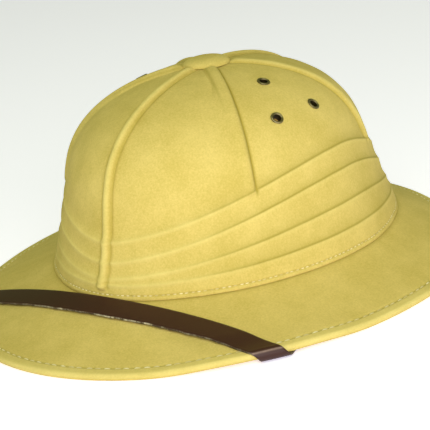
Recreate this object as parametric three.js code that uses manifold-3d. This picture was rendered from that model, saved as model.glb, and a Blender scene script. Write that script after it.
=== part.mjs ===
import * as THREE from 'three';
import { mergeVertices } from 'three/addons/utils/BufferGeometryUtils.js';
import Module from 'manifold-3d';

// Pith helmet: a moulded crown with six ribs and a wound band of folds, on a wide sloping brim.
// Millimetres, Z up. The front points along -Y, and the wearer's left is +X.
// The helmet stands on the hem of its brim, on the plane z = 0.

// Crown
const crownHalfLength = 112;
const crownHalfWidth = 92;
const crownHeight = 108.5;
const crownWall = 2.8;
const crownPlanPower = 1.87;
const domeRadiusPower = 2;
const domeHeightPower = 3.95;

// Ribs, moulded on the dome
const ribHeight = 2.4;
const ribHalfWidth = 3.4;
const ribRoundness = 0.75;
const frontRibAngle = -90;
const templeRibAngle = -42.5;
const earRibAngle = 32;
const backRibAngle = 90;
const ribEndAboveHem = 4;
const ribFadeLength = 6;
const ribStartShare = 0.45;
const ribFullShare = 0.95;
const ribSectorShare = 0.42;

// Folds of the wound band, moulded round the foot of the crown
const foldStep = 1.3;
const foldLedge = 2.4;
const foldFrontPower = 1.4;
const foldBackPower = 2.8;
const flareReach = 8.4;
const flarePower = 1.6;
const flareStart = 0.45;

// Brim
const brimFrontReach = 187;
const brimBackReach = 163;
const brimSideReach = 155;
const brimBackPower = 1.7;
const brimWall = 2.6;
const brimDrop = 19.4;
const brimHollow = 1.12;
const headOpeningLap = 9;
const hemWidth = 6.5;
const hemThickness = 4.4;
const hemGroove = 0.7;
const restWidth = 2.6;

// Button on the top of the crown
const buttonRadius = 16;
const buttonHeight = 3.6;
const buttonEdge = 1;
const buttonRoundness = 0.6;

// Air holes with metal eyelets, three on each side
const eyeletHoleRadius = 2.4;
const eyeletFlangeRadius = 4;
const eyeletFlangeThickness = 0.7;
const eyeletBarrelWall = 0.5;
const eyeletMiddleAngle = -9.1;
const eyeletSpread = 12.9;

// Chin strap, worn up over the front of the brim
const strapWidth = 14;
const strapThickness = 1.3;
const strapBrimAngle = -48.2;
const strapSpreadShare = 0.88;
const strapLift = 0.9;
const strapHiddenLength = 84;

// Clearances between the pieces
const seamGap = 0.3;
const strapGap = 0.45;

// Heights of the fold lines above the foot of the crown, as shares of the crown's height
const folds = [
  { name: 'first', atEnds: 0.287, atSides: 0.556 },
  { name: 'second', atEnds: 0.184, atSides: 0.433 },
  { name: 'third', atEnds: 0.107, atSides: 0.265 },
  { name: 'fourth', atEnds: 0.076, atSides: 0.129 },
];

// The ribs in order round the crown; widths and heights are shares of the named rib sizes
const ribs = [
  { name: 'front', angle: frontRibAngle, width: 0.9, height: 1.1, toHem: true },
  { name: 'left temple', angle: templeRibAngle, width: 1.2, height: 1.1, toHem: false },
  { name: 'left ear', angle: earRibAngle, width: 1, height: 1, toHem: false },
  { name: 'back', angle: backRibAngle, width: 0.9, height: 1.1, toHem: true },
  { name: 'right ear', angle: 180 - earRibAngle, width: 1, height: 1, toHem: false },
  { name: 'right temple', angle: 180 - templeRibAngle, width: 1.2, height: 1.1, toHem: false },
];

// Heights of the three eyelets of a side, as shares of the crown's height
const eyelets = [
  { number: 1, turn: 0, height: 0.923 },
  { number: 2, turn: 1, height: 0.776 },
  { number: 3, turn: -1, height: 0.776 },
];

// How finely the facets follow the shapes
const ribOffsets = [0, 0.55, 1];
const widestFacetAngle = 11;
const domeRows = 9;
const buttonRowShares = [0.76, 0.42];
const innerDomeRows = 8;
const brimColumns = 72;
const brimSlopeShares = [0.35, 0.7];
const brimUnderShare = 0.5;
const beadShares = [0.25, 0.5, 0.75];
const eyeletSides = 14;
const strapStep = 6;
const strapFineStep = 1.5;

// Worked-out sizes
const crownFootHeight = brimDrop + hemThickness / 2;
const crownCentreY = (brimFrontReach - brimBackReach) / 2;
const footRelief = folds.length * foldStep + flareReach;
const eyeletBarrelRadius = eyeletHoleRadius + eyeletBarrelWall;
const hemRadius = hemThickness / 2;
const wallSearch = 2 * crownWall;

const radians = THREE.MathUtils.degToRad;
const lerp = THREE.MathUtils.lerp;

function smoothStep(value) {
  const share = THREE.MathUtils.clamp(value, 0, 1);
  return share * share * (3 - 2 * share);
}

// Polar radius of the oval |x / halfWidth|^power + |y / halfLength|^power = 1
function ovalRadius(angle, halfWidth, halfLength, power) {
  const across = Math.pow(Math.abs(Math.cos(angle)) / halfWidth, power);
  const along = Math.pow(Math.abs(Math.sin(angle)) / halfLength, power);
  return Math.pow(across + along, -1 / power);
}

// Dome: radius share for a height share, on |radius|^a + |height|^b = 1
function domeRadiusShare(heightShare) {
  return Math.pow(1 - Math.pow(heightShare, domeHeightPower), 1 / domeRadiusPower);
}

function domeHeightShare(radiusShare) {
  return Math.pow(1 - Math.pow(radiusShare, domeRadiusPower), 1 / domeHeightPower);
}

// The folds are highest at the sides; behind them they drop away sooner than in front
function foldLine(fold, angle) {
  const power = Math.sin(angle) > 0 ? foldBackPower : foldFrontPower;
  const rise = Math.pow(Math.abs(Math.cos(angle)), power);
  return crownHeight * lerp(fold.atEnds, fold.atSides, rise);
}

// How far the wound band stands out from the dome: a step at each fold line, and a flare below
function foldRelief(height, angle) {
  const steps = folds.map((fold) => smoothStep((foldLine(fold, angle) - height) / foldLedge + 0.5));
  const below = Math.max(1 - height / (flareStart * crownHeight), 0);
  return foldStep * steps.reduce((sum, step) => sum + step, 0) + flareReach * Math.pow(below, flarePower);
}

// The same band without its steps, for the inside of the shell
function smoothRelief(height, angle) {
  const below = Math.max(1 - height / foldLine(folds[0], angle), 0);
  const flare = Math.max(1 - height / (flareStart * crownHeight), 0);
  return folds.length * foldStep * below + flareReach * Math.pow(flare, flarePower);
}

// Ribs fade out under the button, and the short ones end in the first fold
function ribFade(rib, height, angle, radius) {
  const fromTop = (radius / buttonRadius - ribStartShare) / (ribFullShare - ribStartShare);
  const end = rib.toHem ? ribEndAboveHem : foldLine(folds[0], angle);
  return smoothStep(fromTop) * smoothStep((height - end) / ribFadeLength + (rib.toHem ? 0 : 1));
}

// A point of the crown: the oval dome, pushed out by the band, then lifted along its normal
function crownPoint(angle, heightShare, relief, lift) {
  const radiusShare = domeRadiusShare(heightShare);
  const halfWidth = crownHalfWidth * radiusShare + relief;
  const halfLength = crownHalfLength * radiusShare + relief;
  const planRadius = ovalRadius(angle, crownHalfWidth, crownHalfLength, crownPlanPower);
  const outward = domeRadiusPower / planRadius * Math.pow(radiusShare, domeRadiusPower - 1);
  const upward = domeHeightPower / crownHeight * Math.pow(heightShare, domeHeightPower - 1);
  const size = Math.hypot(outward, upward);
  const radius = ovalRadius(angle, halfWidth, halfLength, crownPlanPower) + lift * outward / size;
  const height = crownHeight * heightShare + lift * upward / size;
  return new THREE.Vector3(
    radius * Math.cos(angle),
    radius * Math.sin(angle) + crownCentreY,
    height + crownFootHeight + seamGap,
  );
}

// The middle of the top of the crown, lifted by a given length
function crownTop(lift) {
  return new THREE.Vector3(0, crownCentreY, crownHeight + crownFootHeight + seamGap + lift);
}

// Columns of facets: narrow ones over each rib, even ones over the panel after it
function crownColumns() {
  return ribs.flatMap((rib, index) => {
    const next = ribs[(index + 1) % ribs.length];
    const sector = THREE.MathUtils.euclideanModulo(next.angle - rib.angle, 360);
    const panelColumns = Math.ceil(sector / widestFacetAngle);
    const rising = ribOffsets.map((offset) => ({ rib, next, sector, offset, side: 'after' }));
    const falling = ribOffsets.slice(1).reverse()
      .map((offset) => ({ rib, next, sector, offset, side: 'before' }));
    const panel = Array.from({ length: panelColumns - 1 }, (_, step) => (
      { rib, next, sector, share: (step + 1) / panelColumns, side: 'panel' }));
    return [...rising, ...panel, ...falling];
  });
}

// Half the angle that a rib covers; near the top, neighbouring ribs leave each other room
function ribReach(rib, sector, radius) {
  const freeAngle = Math.asin(Math.min(ribHalfWidth * rib.width / radius, 1));
  return Math.min(freeAngle, radians(sector) * ribSectorShare);
}

function columnAngle(column, radius) {
  const start = radians(column.rib.angle);
  const end = start + radians(column.sector);
  const startReach = ribReach(column.rib, column.sector, radius);
  const endReach = ribReach(column.next, column.sector, radius);
  if (column.side === 'after') return start + startReach * column.offset;
  if (column.side === 'before') return end - endReach * column.offset;
  return lerp(start + startReach, end - endReach, column.share);
}

// A ring of the crown at a height that may change round it, with the ribs and folds or without
function crownRing(columns, heightShareAt, skin) {
  return columns.map((column) => {
    const middle = radians(column.rib.angle + column.sector / 2);
    const planRadius = ovalRadius(middle, crownHalfWidth, crownHalfLength, crownPlanPower);
    const radius = planRadius * domeRadiusShare(heightShareAt(middle));
    const angle = columnAngle(column, radius);
    const heightShare = heightShareAt(angle);
    const height = heightShare * crownHeight;
    if (skin === 'inside') {
      return crownPoint(angle, heightShare, smoothRelief(height, angle), -crownWall);
    }
    const rib = column.side === 'before' ? column.next : column.rib;
    const bulge = column.side === 'panel' ? 0 : Math.pow(1 - column.offset ** 2, ribRoundness);
    const lift = ribHeight * rib.height * bulge * ribFade(rib, height, angle, radius);
    return crownPoint(angle, heightShare, foldRelief(height, angle), lift);
  });
}

// Height share of the dome where its radius is a given length
function shareAtRadius(angle, radius) {
  const planRadius = ovalRadius(angle, crownHalfWidth, crownHalfLength, crownPlanPower);
  return domeHeightShare(radius / planRadius);
}

// Rows of the dome are even in the angle of its power curve
function domeTurn(heightShare) {
  return Math.asin(Math.pow(heightShare, domeHeightPower / 2));
}

function domeRow(share, lowShareAt, topRadius) {
  return (angle) => {
    const turn = lerp(domeTurn(lowShareAt(angle)), domeTurn(shareAtRadius(angle, topRadius)), share);
    return Math.pow(Math.sin(turn), 2 / domeHeightPower);
  };
}

// Rows of the outer skin, from the foot up to the edge of the button
function outerRows() {
  const ledge = foldLedge / 2 / crownHeight;
  const lineAt = (fold) => (angle) => foldLine(fold, angle) / crownHeight;
  const rows = [() => 0];
  [...folds].reverse().forEach((fold, index, upward) => {
    rows.push((angle) => lineAt(fold)(angle) - ledge, (angle) => lineAt(fold)(angle) + ledge);
    const above = upward[index + 1];
    if (above) rows.push((angle) => (lineAt(fold)(angle) + lineAt(above)(angle)) / 2);
  });
  const lowShareAt = rows[rows.length - 1];
  for (let row = 1; row <= domeRows; row += 1) {
    rows.push(domeRow(row / domeRows, lowShareAt, buttonRadius));
  }
  return rows;
}

function innerRows() {
  const rows = [() => 0];
  [...folds].reverse().forEach((fold) => rows.push((angle) => foldLine(fold, angle) / crownHeight));
  const lowShareAt = rows[rows.length - 1];
  for (let row = 1; row <= innerDomeRows; row += 1) {
    rows.push(domeRow(row / innerDomeRows, lowShareAt, buttonRadius));
  }
  return rows;
}

function buttonRows() {
  return buttonRowShares.map((share) => (angle) => shareAtRadius(angle, share * buttonRadius));
}

// The two triangles of a four-cornered facet, split along its shorter diagonal
function splitFacet(points, first, second, third, fourth) {
  const straight = points[first].distanceTo(points[third]);
  const crosswise = points[second].distanceTo(points[fourth]);
  if (straight < crosswise) return [first, second, third, first, third, fourth];
  return [first, second, fourth, second, third, fourth];
}

// Joins rings of points into one closed skin, between two poles or round to the first ring again
function closedSkin(rings, startPole, endPole) {
  const count = rings[0].length;
  const points = rings.flat();
  const faces = [];
  const lastRing = startPole ? rings.length - 1 : rings.length;
  for (let ring = 0; ring < lastRing; ring += 1) {
    const here = ring * count;
    const there = ((ring + 1) % rings.length) * count;
    for (let step = 0; step < count; step += 1) {
      const next = (step + 1) % count;
      faces.push(...splitFacet(points, here + step, here + next, there + next, there + step));
    }
  }
  if (startPole) {
    const start = points.push(startPole) - 1;
    const end = points.push(endPole) - 1;
    const last = (rings.length - 1) * count;
    for (let step = 0; step < count; step += 1) {
      const next = (step + 1) % count;
      faces.push(start, next, step, end, last + step, last + next);
    }
  }
  const geometry = new THREE.BufferGeometry().setFromPoints(points);
  geometry.setIndex(faces);
  return geometry;
}

// Solids for cutting
const wasm = await Module();
wasm.setup();

function toSolid(geometry) {
  const vertProperties = new Float32Array(geometry.attributes.position.array);
  const triVerts = new Uint32Array(geometry.index.array);
  return new wasm.Manifold(new wasm.Mesh({ numProp: 3, vertProperties, triVerts }));
}

function toGeometry(solid) {
  const mesh = solid.getMesh();
  const geometry = new THREE.BufferGeometry();
  geometry.setAttribute('position', new THREE.BufferAttribute(mesh.vertProperties, 3));
  geometry.setIndex(new THREE.BufferAttribute(mesh.triVerts, 1));
  return geometry;
}

function crownGeometry(columns) {
  const outer = [...outerRows(), ...buttonRows()].map((row) => crownRing(columns, row, 'outside'));
  const inner = [...innerRows(), ...buttonRows()].map((row) => crownRing(columns, row, 'inside'));
  const rings = [...inner.reverse(), ...outer];
  return closedSkin(rings, crownTop(-crownWall), crownTop(0));
}

// The button lies on the crown's own rows, a gap above them, and is thickest in the middle
function buttonGeometry(columns) {
  const rows = [(angle) => shareAtRadius(angle, buttonRadius), ...buttonRows()];
  const shares = [1, ...buttonRowShares];
  const raised = (row, height) => crownRing(columns, row, 'outside')
    .map((point) => point.add(new THREE.Vector3(0, 0, height)));
  const crownOfButton = (share) => seamGap + buttonEdge
    + (buttonHeight - buttonEdge) * Math.pow(1 - share ** 2, buttonRoundness);
  const under = rows.map((row) => raised(row, seamGap)).reverse();
  const over = rows.map((row, index) => raised(row, crownOfButton(shares[index])));
  return closedSkin([...under, ...over], crownTop(seamGap), crownTop(crownOfButton(0)));
}

// Outline of the foot of the crown, where the slope of the brim starts
function footRadius(angle) {
  const halfWidth = crownHalfWidth + footRelief;
  const halfLength = crownHalfLength + footRelief;
  return ovalRadius(angle, halfWidth, halfLength, crownPlanPower);
}

// Outline of the brim: a front half oval and a slightly straighter back half
function rimRadius(angle) {
  if (Math.sin(angle) < 0) return ovalRadius(angle, brimSideReach, brimFrontReach, 2);
  return ovalRadius(angle, brimSideReach, brimBackReach, brimBackPower);
}

function rimPoint(angle) {
  const radius = rimRadius(angle);
  return new THREE.Vector2(radius * Math.cos(angle), radius * Math.sin(angle));
}

// The strap crosses the rim here: its middle, and the way out over the rim
const strapRimAngle = radians(strapBrimAngle);
const rimOutward = new THREE.Vector2(
  Math.cos(strapRimAngle) / brimSideReach ** 2,
  Math.sin(strapRimAngle) / brimFrontReach ** 2,
).normalize();
const strapCrossing = rimPoint(strapRimAngle).addScaledVector(rimOutward, -hemRadius);
const strapWrapRadius = hemRadius + strapGap + strapThickness / 2;
const strapWrapLength = Math.PI * strapWrapRadius;

// In plan the upper stretch leaves the foot of the crown in a soft curve and ends straight
const strapMiddleY = -(crownHalfLength + footRelief + 2 * seamGap + strapWidth / 2);

const strapRise = strapCrossing.y - strapMiddleY;
const strapSpread = strapSpreadShare * strapCrossing.x;

function strapLine(x) {
  return new THREE.Vector2(x, strapMiddleY + strapRise * smoothStep(x / strapSpread));
}

function strapHeading(x) {
  const share = Math.min(x / strapSpread, 1);
  return new THREE.Vector2(1, 6 * share * (1 - share) * strapRise / strapSpread).normalize();
}

const headingAtRim = strapHeading(strapCrossing.x);
const skewAtRim = headingAtRim.dot(new THREE.Vector2(-rimOutward.y, rimOutward.x))
  / headingAtRim.dot(rimOutward);
const slipAlongRim = skewAtRim * strapWrapLength;

// The hem rises a little where the strap passes under it, so that the strap isn't stood on
const liftSpread = 2 * (strapWidth + slipAlongRim) / brimSideReach;
const liftAngle = strapRimAngle + slipAlongRim / 2 / rimRadius(strapRimAngle);
const hemLift = strapThickness + strapGap + seamGap;

function rimLift(angle) {
  const fromFront = Math.abs(Math.atan2(Math.cos(angle), -Math.sin(angle)));
  const away = (fromFront - (liftAngle + Math.PI / 2)) / liftSpread;
  return hemLift * Math.exp(-(away ** 4));
}

// Height of the upper side of the brim, for a distance in from the rim
function brimTop(angle, inward) {
  const width = rimRadius(angle) - footRadius(angle) - hemRadius;
  const share = THREE.MathUtils.clamp((inward - hemRadius) / width, 0, 1);
  const hemTop = hemThickness + rimLift(angle) * (1 - share);
  const slope = hemTop + (crownFootHeight - hemTop) * Math.pow(share, brimHollow);
  const fromSeam = Math.abs(inward - hemWidth) / hemRadius;
  return slope - hemGroove * Math.max(1 - fromSeam, 0);
}

// Height of the lower side: flat under the hem, then one wall below the upper side
function brimUnder(angle, inward) {
  const flatEnd = hemRadius + restWidth;
  const lift = rimLift(angle);
  if (inward <= flatEnd) return lift;
  const full = brimTop(angle, Math.max(inward, hemWidth + hemRadius)) - brimWall;
  return lerp(lift, full, Math.min((inward - flatEnd) / (hemWidth + hemRadius - flatEnd), 1));
}

function brimPoint(angle, radius, height) {
  return new THREE.Vector3(
    radius * Math.cos(angle),
    radius * Math.sin(angle) + crownCentreY,
    height,
  );
}

function brimRing(placeAt) {
  return Array.from({ length: brimColumns }, (_, column) => {
    const angle = column / brimColumns * 2 * Math.PI;
    const { inward, height } = placeAt(angle);
    return brimPoint(angle, rimRadius(angle) - inward, height);
  });
}

function brimGeometry() {
  const seamRows = [hemWidth + hemRadius, hemWidth, hemWidth - hemRadius];
  const onTop = (inwardAt) => brimRing((angle) => (
    { inward: inwardAt(angle), height: brimTop(angle, inwardAt(angle)) }));
  const below = (inwardAt) => brimRing((angle) => (
    { inward: inwardAt(angle), height: brimUnder(angle, inwardAt(angle)) }));
  const footInward = (angle) => rimRadius(angle) - footRadius(angle);
  const openingInward = (angle) => footInward(angle) + headOpeningLap;
  const slopeInward = (share) => (angle) => lerp(footInward(angle), hemWidth + hemRadius, share);
  const bead = beadShares.map((share) => brimRing((angle) => (
    {
      inward: hemRadius * (1 - Math.sin(share * Math.PI)),
      height: rimLift(angle) + hemRadius * (1 + Math.cos(share * Math.PI)),
    })));
  return closedSkin([
    brimRing((angle) => ({ inward: openingInward(angle), height: crownFootHeight - brimWall })),
    brimRing((angle) => ({ inward: openingInward(angle), height: crownFootHeight })),
    onTop(footInward),
    ...brimSlopeShares.map((share) => onTop(slopeInward(share))),
    ...seamRows.map((inward) => onTop(() => inward)),
    onTop(() => hemRadius),
    ...bead,
    below(() => hemRadius),
    below(() => hemRadius + restWidth),
    below(() => hemWidth + hemRadius),
    below(slopeInward(brimUnderShare)),
    below(footInward),
  ].reverse());
}

// A point of the strap for a length along it and a place across it, on one of its two faces.
// Its cross-sections turn until they lie along the rim. Past the rim the flat strap is rolled
// round the hem, and under the brim it runs back inwards.
function strapPoint(along, across, layer) {
  const x = Math.min(along, strapCrossing.x);
  const heading = strapHeading(x);
  const sideways = new THREE.Vector2(-heading.y, heading.x);
  const skew = skewAtRim * smoothStep(x / strapCrossing.x);
  const plan = strapLine(x)
    .addScaledVector(heading, along - x + skew * across)
    .addScaledVector(sideways, across);
  const beyond = plan.clone().sub(strapCrossing).dot(rimOutward);
  if (beyond > 0 && beyond < strapWrapLength) return wrapPoint(plan, beyond, layer);
  if (beyond >= strapWrapLength) {
    plan.addScaledVector(rimOutward, strapWrapLength - 2 * beyond);
  }
  const angle = Math.atan2(plan.y, plan.x);
  const inward = rimRadius(angle) - plan.length();
  const float = strapLift * smoothStep((inward - hemWidth) / strapWidth);
  const height = beyond <= 0
    ? brimTop(angle, inward) + layer + float
    : brimUnder(angle, inward) - layer;
  return new THREE.Vector3(plan.x, plan.y + crownCentreY, height);
}

function wrapPoint(plan, beyond, layer) {
  const turn = beyond / strapWrapRadius;
  const radius = hemRadius + layer;
  plan.addScaledVector(rimOutward, radius * Math.sin(turn) - beyond);
  const angle = Math.atan2(plan.y, plan.x);
  const height = rimLift(angle) + hemRadius + radius * Math.cos(turn);
  return new THREE.Vector3(plan.x, plan.y + crownCentreY, height);
}

// Stations along half the strap: coarse on the flat stretches, fine where it rolls round the hem
function strapStations() {
  const fineStart = strapCrossing.x - hemWidth - strapWidth;
  const fineEnd = strapCrossing.x + strapWrapLength * 2 + strapWidth;
  const end = strapCrossing.x + strapWrapLength + strapHiddenLength;
  const spread = (from, to, step) => {
    const count = Math.ceil((to - from) / step);
    return Array.from({ length: count }, (_, index) => lerp(from, to, index / count));
  };
  return [
    ...spread(0, fineStart, strapStep),
    ...spread(fineStart, fineEnd, strapFineStep),
    ...spread(fineEnd, end, strapStep),
    end,
  ];
}

function strapGeometry() {
  const half = strapWidth / 2;
  const lowLayer = strapGap;
  const highLayer = strapGap + strapThickness;
  const section = (along) => [
    strapPoint(along, -half, lowLayer),
    strapPoint(along, half, lowLayer),
    strapPoint(along, half, highLayer),
    strapPoint(along, -half, highLayer),
  ];
  const mirrored = (along) => section(along).map((point) => point.setX(-point.x));
  const stations = strapStations();
  const rings = [
    ...stations.slice(1).reverse().map(mirrored),
    ...stations.map(section),
  ];
  const middleOf = (ring) => ring.reduce((sum, point) => sum.add(point), new THREE.Vector3())
    .divideScalar(ring.length);
  return closedSkin(rings, middleOf(rings[0]), middleOf(rings[rings.length - 1]));
}

// An eyelet: a barrel through the wall with a flange on each face, turned about its own axis
function eyeletGeometry(seat) {
  const inFace = seat.inFace - seamGap;
  const outFace = seat.outFace + seamGap;
  const rounding = eyeletFlangeThickness / 2;
  const profile = [
    [eyeletHoleRadius, inFace - eyeletFlangeThickness],
    [eyeletFlangeRadius, inFace - eyeletFlangeThickness],
    [eyeletFlangeRadius, inFace],
    [eyeletBarrelRadius, inFace],
    [eyeletBarrelRadius, outFace],
    [eyeletFlangeRadius, outFace],
    [eyeletFlangeRadius - rounding, outFace + eyeletFlangeThickness],
    [eyeletHoleRadius + rounding, outFace + eyeletFlangeThickness],
    [eyeletHoleRadius, outFace],
    [eyeletHoleRadius, inFace - eyeletFlangeThickness],
  ].map(([radius, height]) => new THREE.Vector2(radius, height));
  return new THREE.LatheGeometry(profile, eyeletSides);
}

// Where an eyelet sits on the dome, and how far the two faces of the wall reach under its flanges
function eyeletSeat(eyelet, side, shell) {
  const leftAngle = radians(eyeletMiddleAngle + eyeletSpread * eyelet.turn);
  const angle = side === 'left' ? leftAngle : Math.PI - leftAngle;
  const place = crownPoint(angle, eyelet.height, 0, 0);
  const outward = crownPoint(angle, eyelet.height, 0, 1).sub(place).normalize();
  const inward = outward.clone().negate();
  const arm = new THREE.Vector3(0, 0, 1).cross(outward).setLength(eyeletFlangeRadius);
  const faces = Array.from({ length: eyeletSides }, (_, step) => {
    const turnedArm = arm.clone().applyAxisAngle(outward, step / eyeletSides * 2 * Math.PI);
    const origin = place.clone().add(turnedArm).addScaledVector(outward, wallSearch);
    return new THREE.Raycaster(origin, inward, 0, 2 * wallSearch).intersectObject(shell)
      .map((hit) => wallSearch - hit.distance);
  }).flat();
  return { place, outward, outFace: Math.max(...faces), inFace: Math.min(...faces) };
}

function placed(mesh, seat) {
  mesh.position.copy(seat.place);
  mesh.quaternion.setFromUnitVectors(new THREE.Vector3(0, 1, 0), seat.outward);
  return mesh;
}

// Cuts a hole through the wall for each eyelet's barrel
function withEyeletHoles(geometry, seats) {
  const cutter = new THREE.CylinderGeometry(
    eyeletBarrelRadius + seamGap,
    eyeletBarrelRadius + seamGap,
    2 * wallSearch,
    eyeletSides,
  );
  cutter.deleteAttribute('normal');
  cutter.deleteAttribute('uv');
  const merged = mergeVertices(cutter);
  const shell = seats.reduce((solid, seat) => {
    const marker = placed(new THREE.Object3D(), seat);
    marker.updateMatrix();
    return solid.subtract(toSolid(merged.clone().applyMatrix4(marker.matrix)));
  }, toSolid(geometry));
  return toGeometry(shell);
}

function finish(colour, roughness, metalness) {
  return new THREE.MeshStandardMaterial({ color: colour, roughness, metalness });
}

const clothFinish = finish(0xd9c668, 0.92, 0);
const strapFinish = finish(0x462a20, 0.42, 0);
const brassFinish = finish(0x6b5a33, 0.38, 1);

function named(name, geometry, material) {
  const mesh = new THREE.Mesh(geometry, material);
  mesh.name = name;
  return mesh;
}

const helmet = new THREE.Group();
const columns = crownColumns();
const shellGeometry = crownGeometry(columns);
const shell = new THREE.Mesh(shellGeometry, new THREE.MeshStandardMaterial({ side: THREE.DoubleSide }));
const seats = ['left', 'right'].flatMap((side) => eyelets.map((eyelet) => (
  { name: `eyelet_${side}_${eyelet.number}`, ...eyeletSeat(eyelet, side, shell) })));

helmet.add(
  named('crown', withEyeletHoles(shellGeometry, seats), clothFinish),
  named('top_button', buttonGeometry(columns), clothFinish),
  named('brim', brimGeometry(), clothFinish),
  named('chin_strap', strapGeometry(), strapFinish),
);
seats.forEach((seat) => {
  helmet.add(placed(named(seat.name, eyeletGeometry(seat), brassFinish), seat));
});

export default helmet;
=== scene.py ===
"""Looks of a khaki pith helmet: cloth over a moulded shell, a chin strap and brass eyelets.

Shapes are worked out in millimetres and put into the meshes in metres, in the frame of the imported
model. The front is -Y, the wearer's left is +X, and the hem of the brim stands on z = 0.
"""

import logging
import math
from dataclasses import dataclass, field
from enum import Enum
from typing import Callable, Optional, Sequence, Union

import bpy
import numpy as np
from mathutils import Matrix


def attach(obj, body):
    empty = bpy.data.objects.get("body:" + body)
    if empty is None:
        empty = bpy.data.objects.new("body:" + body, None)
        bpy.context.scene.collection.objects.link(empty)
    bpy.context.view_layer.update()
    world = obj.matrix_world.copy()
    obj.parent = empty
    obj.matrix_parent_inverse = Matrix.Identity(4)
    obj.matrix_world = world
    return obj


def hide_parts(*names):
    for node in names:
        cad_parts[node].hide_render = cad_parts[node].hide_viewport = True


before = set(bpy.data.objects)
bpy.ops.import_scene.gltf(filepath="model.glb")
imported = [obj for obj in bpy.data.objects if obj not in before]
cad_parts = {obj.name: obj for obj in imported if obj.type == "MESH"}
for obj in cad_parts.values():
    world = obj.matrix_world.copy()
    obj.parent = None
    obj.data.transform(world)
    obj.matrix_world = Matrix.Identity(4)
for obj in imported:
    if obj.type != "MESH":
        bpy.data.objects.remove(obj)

Array = np.ndarray
Number = Union[float, Array]
Colour = tuple[float, float, float]
Row = Callable[[Array], Array]

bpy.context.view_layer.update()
METRES = 0.001
TURN = 2.0 * math.pi
UP = np.array([0.0, 0.0, 1.0])

logger = logging.getLogger("pith_helmet")


class Slot(Enum):
    """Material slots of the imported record."""

    CLOTH = "cloth"
    STRAP = "strap"
    BRASS = "brass"


class Side(Enum):
    """The two sides of the helmet; the value is the sign of x."""

    LEFT = 1
    RIGHT = -1


def smooth_step(value: Number) -> Number:
    """Ease from 0 to 1: 3 s squared minus 2 s cubed, with s held between 0 and 1."""
    share = np.clip(value, 0.0, 1.0)
    return share * share * (3.0 - 2.0 * share)


def between(start: Number, end: Number, share: Number) -> Number:
    """Straight-line value between start and end."""
    return start + (end - start) * share


def bell(distance: Number, width: Number) -> Number:
    """Bell curve: e to the power of minus (distance / width) squared."""
    return np.exp(-((distance / width) ** 2))


def oval_radius(angle: Number, half_width: Number, half_length: Number, power: float) -> Array:
    """Polar radius of an oval.

    The oval is |x / half_width| ^ power + |y / half_length| ^ power = 1, so the radius is
    ((|cos| / half_width) ^ power + (|sin| / half_length) ^ power) ^ (-1 / power).

    Args:
        angle: Polar angle in radians, 0 at +X.
        half_width: Half axis along X.
        half_length: Half axis along Y.
        power: Power of the oval; 2 is an ellipse.

    Returns:
        The radius for each angle.
    """
    across = (np.abs(np.cos(angle)) / half_width) ** power
    along = (np.abs(np.sin(angle)) / half_length) ** power
    return (across + along) ** (-1.0 / power)


def clustered(count: int) -> Array:
    """Shares from 0 up to but not including 1, close together at both ends: half of 1 - cos."""
    return 0.5 - 0.5 * np.cos(math.pi * np.arange(count) / count)


def round_turn(count: int) -> Array:
    """Angles of a number of even columns round a full turn."""
    return np.arange(count) / count * TURN


@dataclass(frozen=True)
class Stripe:
    """A soft stripe of a mask: its strength, where its middle lies, and its width."""

    strength: float
    middle: float
    width: float

    def at(self, distance: Number) -> Number:
        """Strength times a bell curve about the middle."""
        return self.strength * bell(distance - self.middle, self.width)


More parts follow.
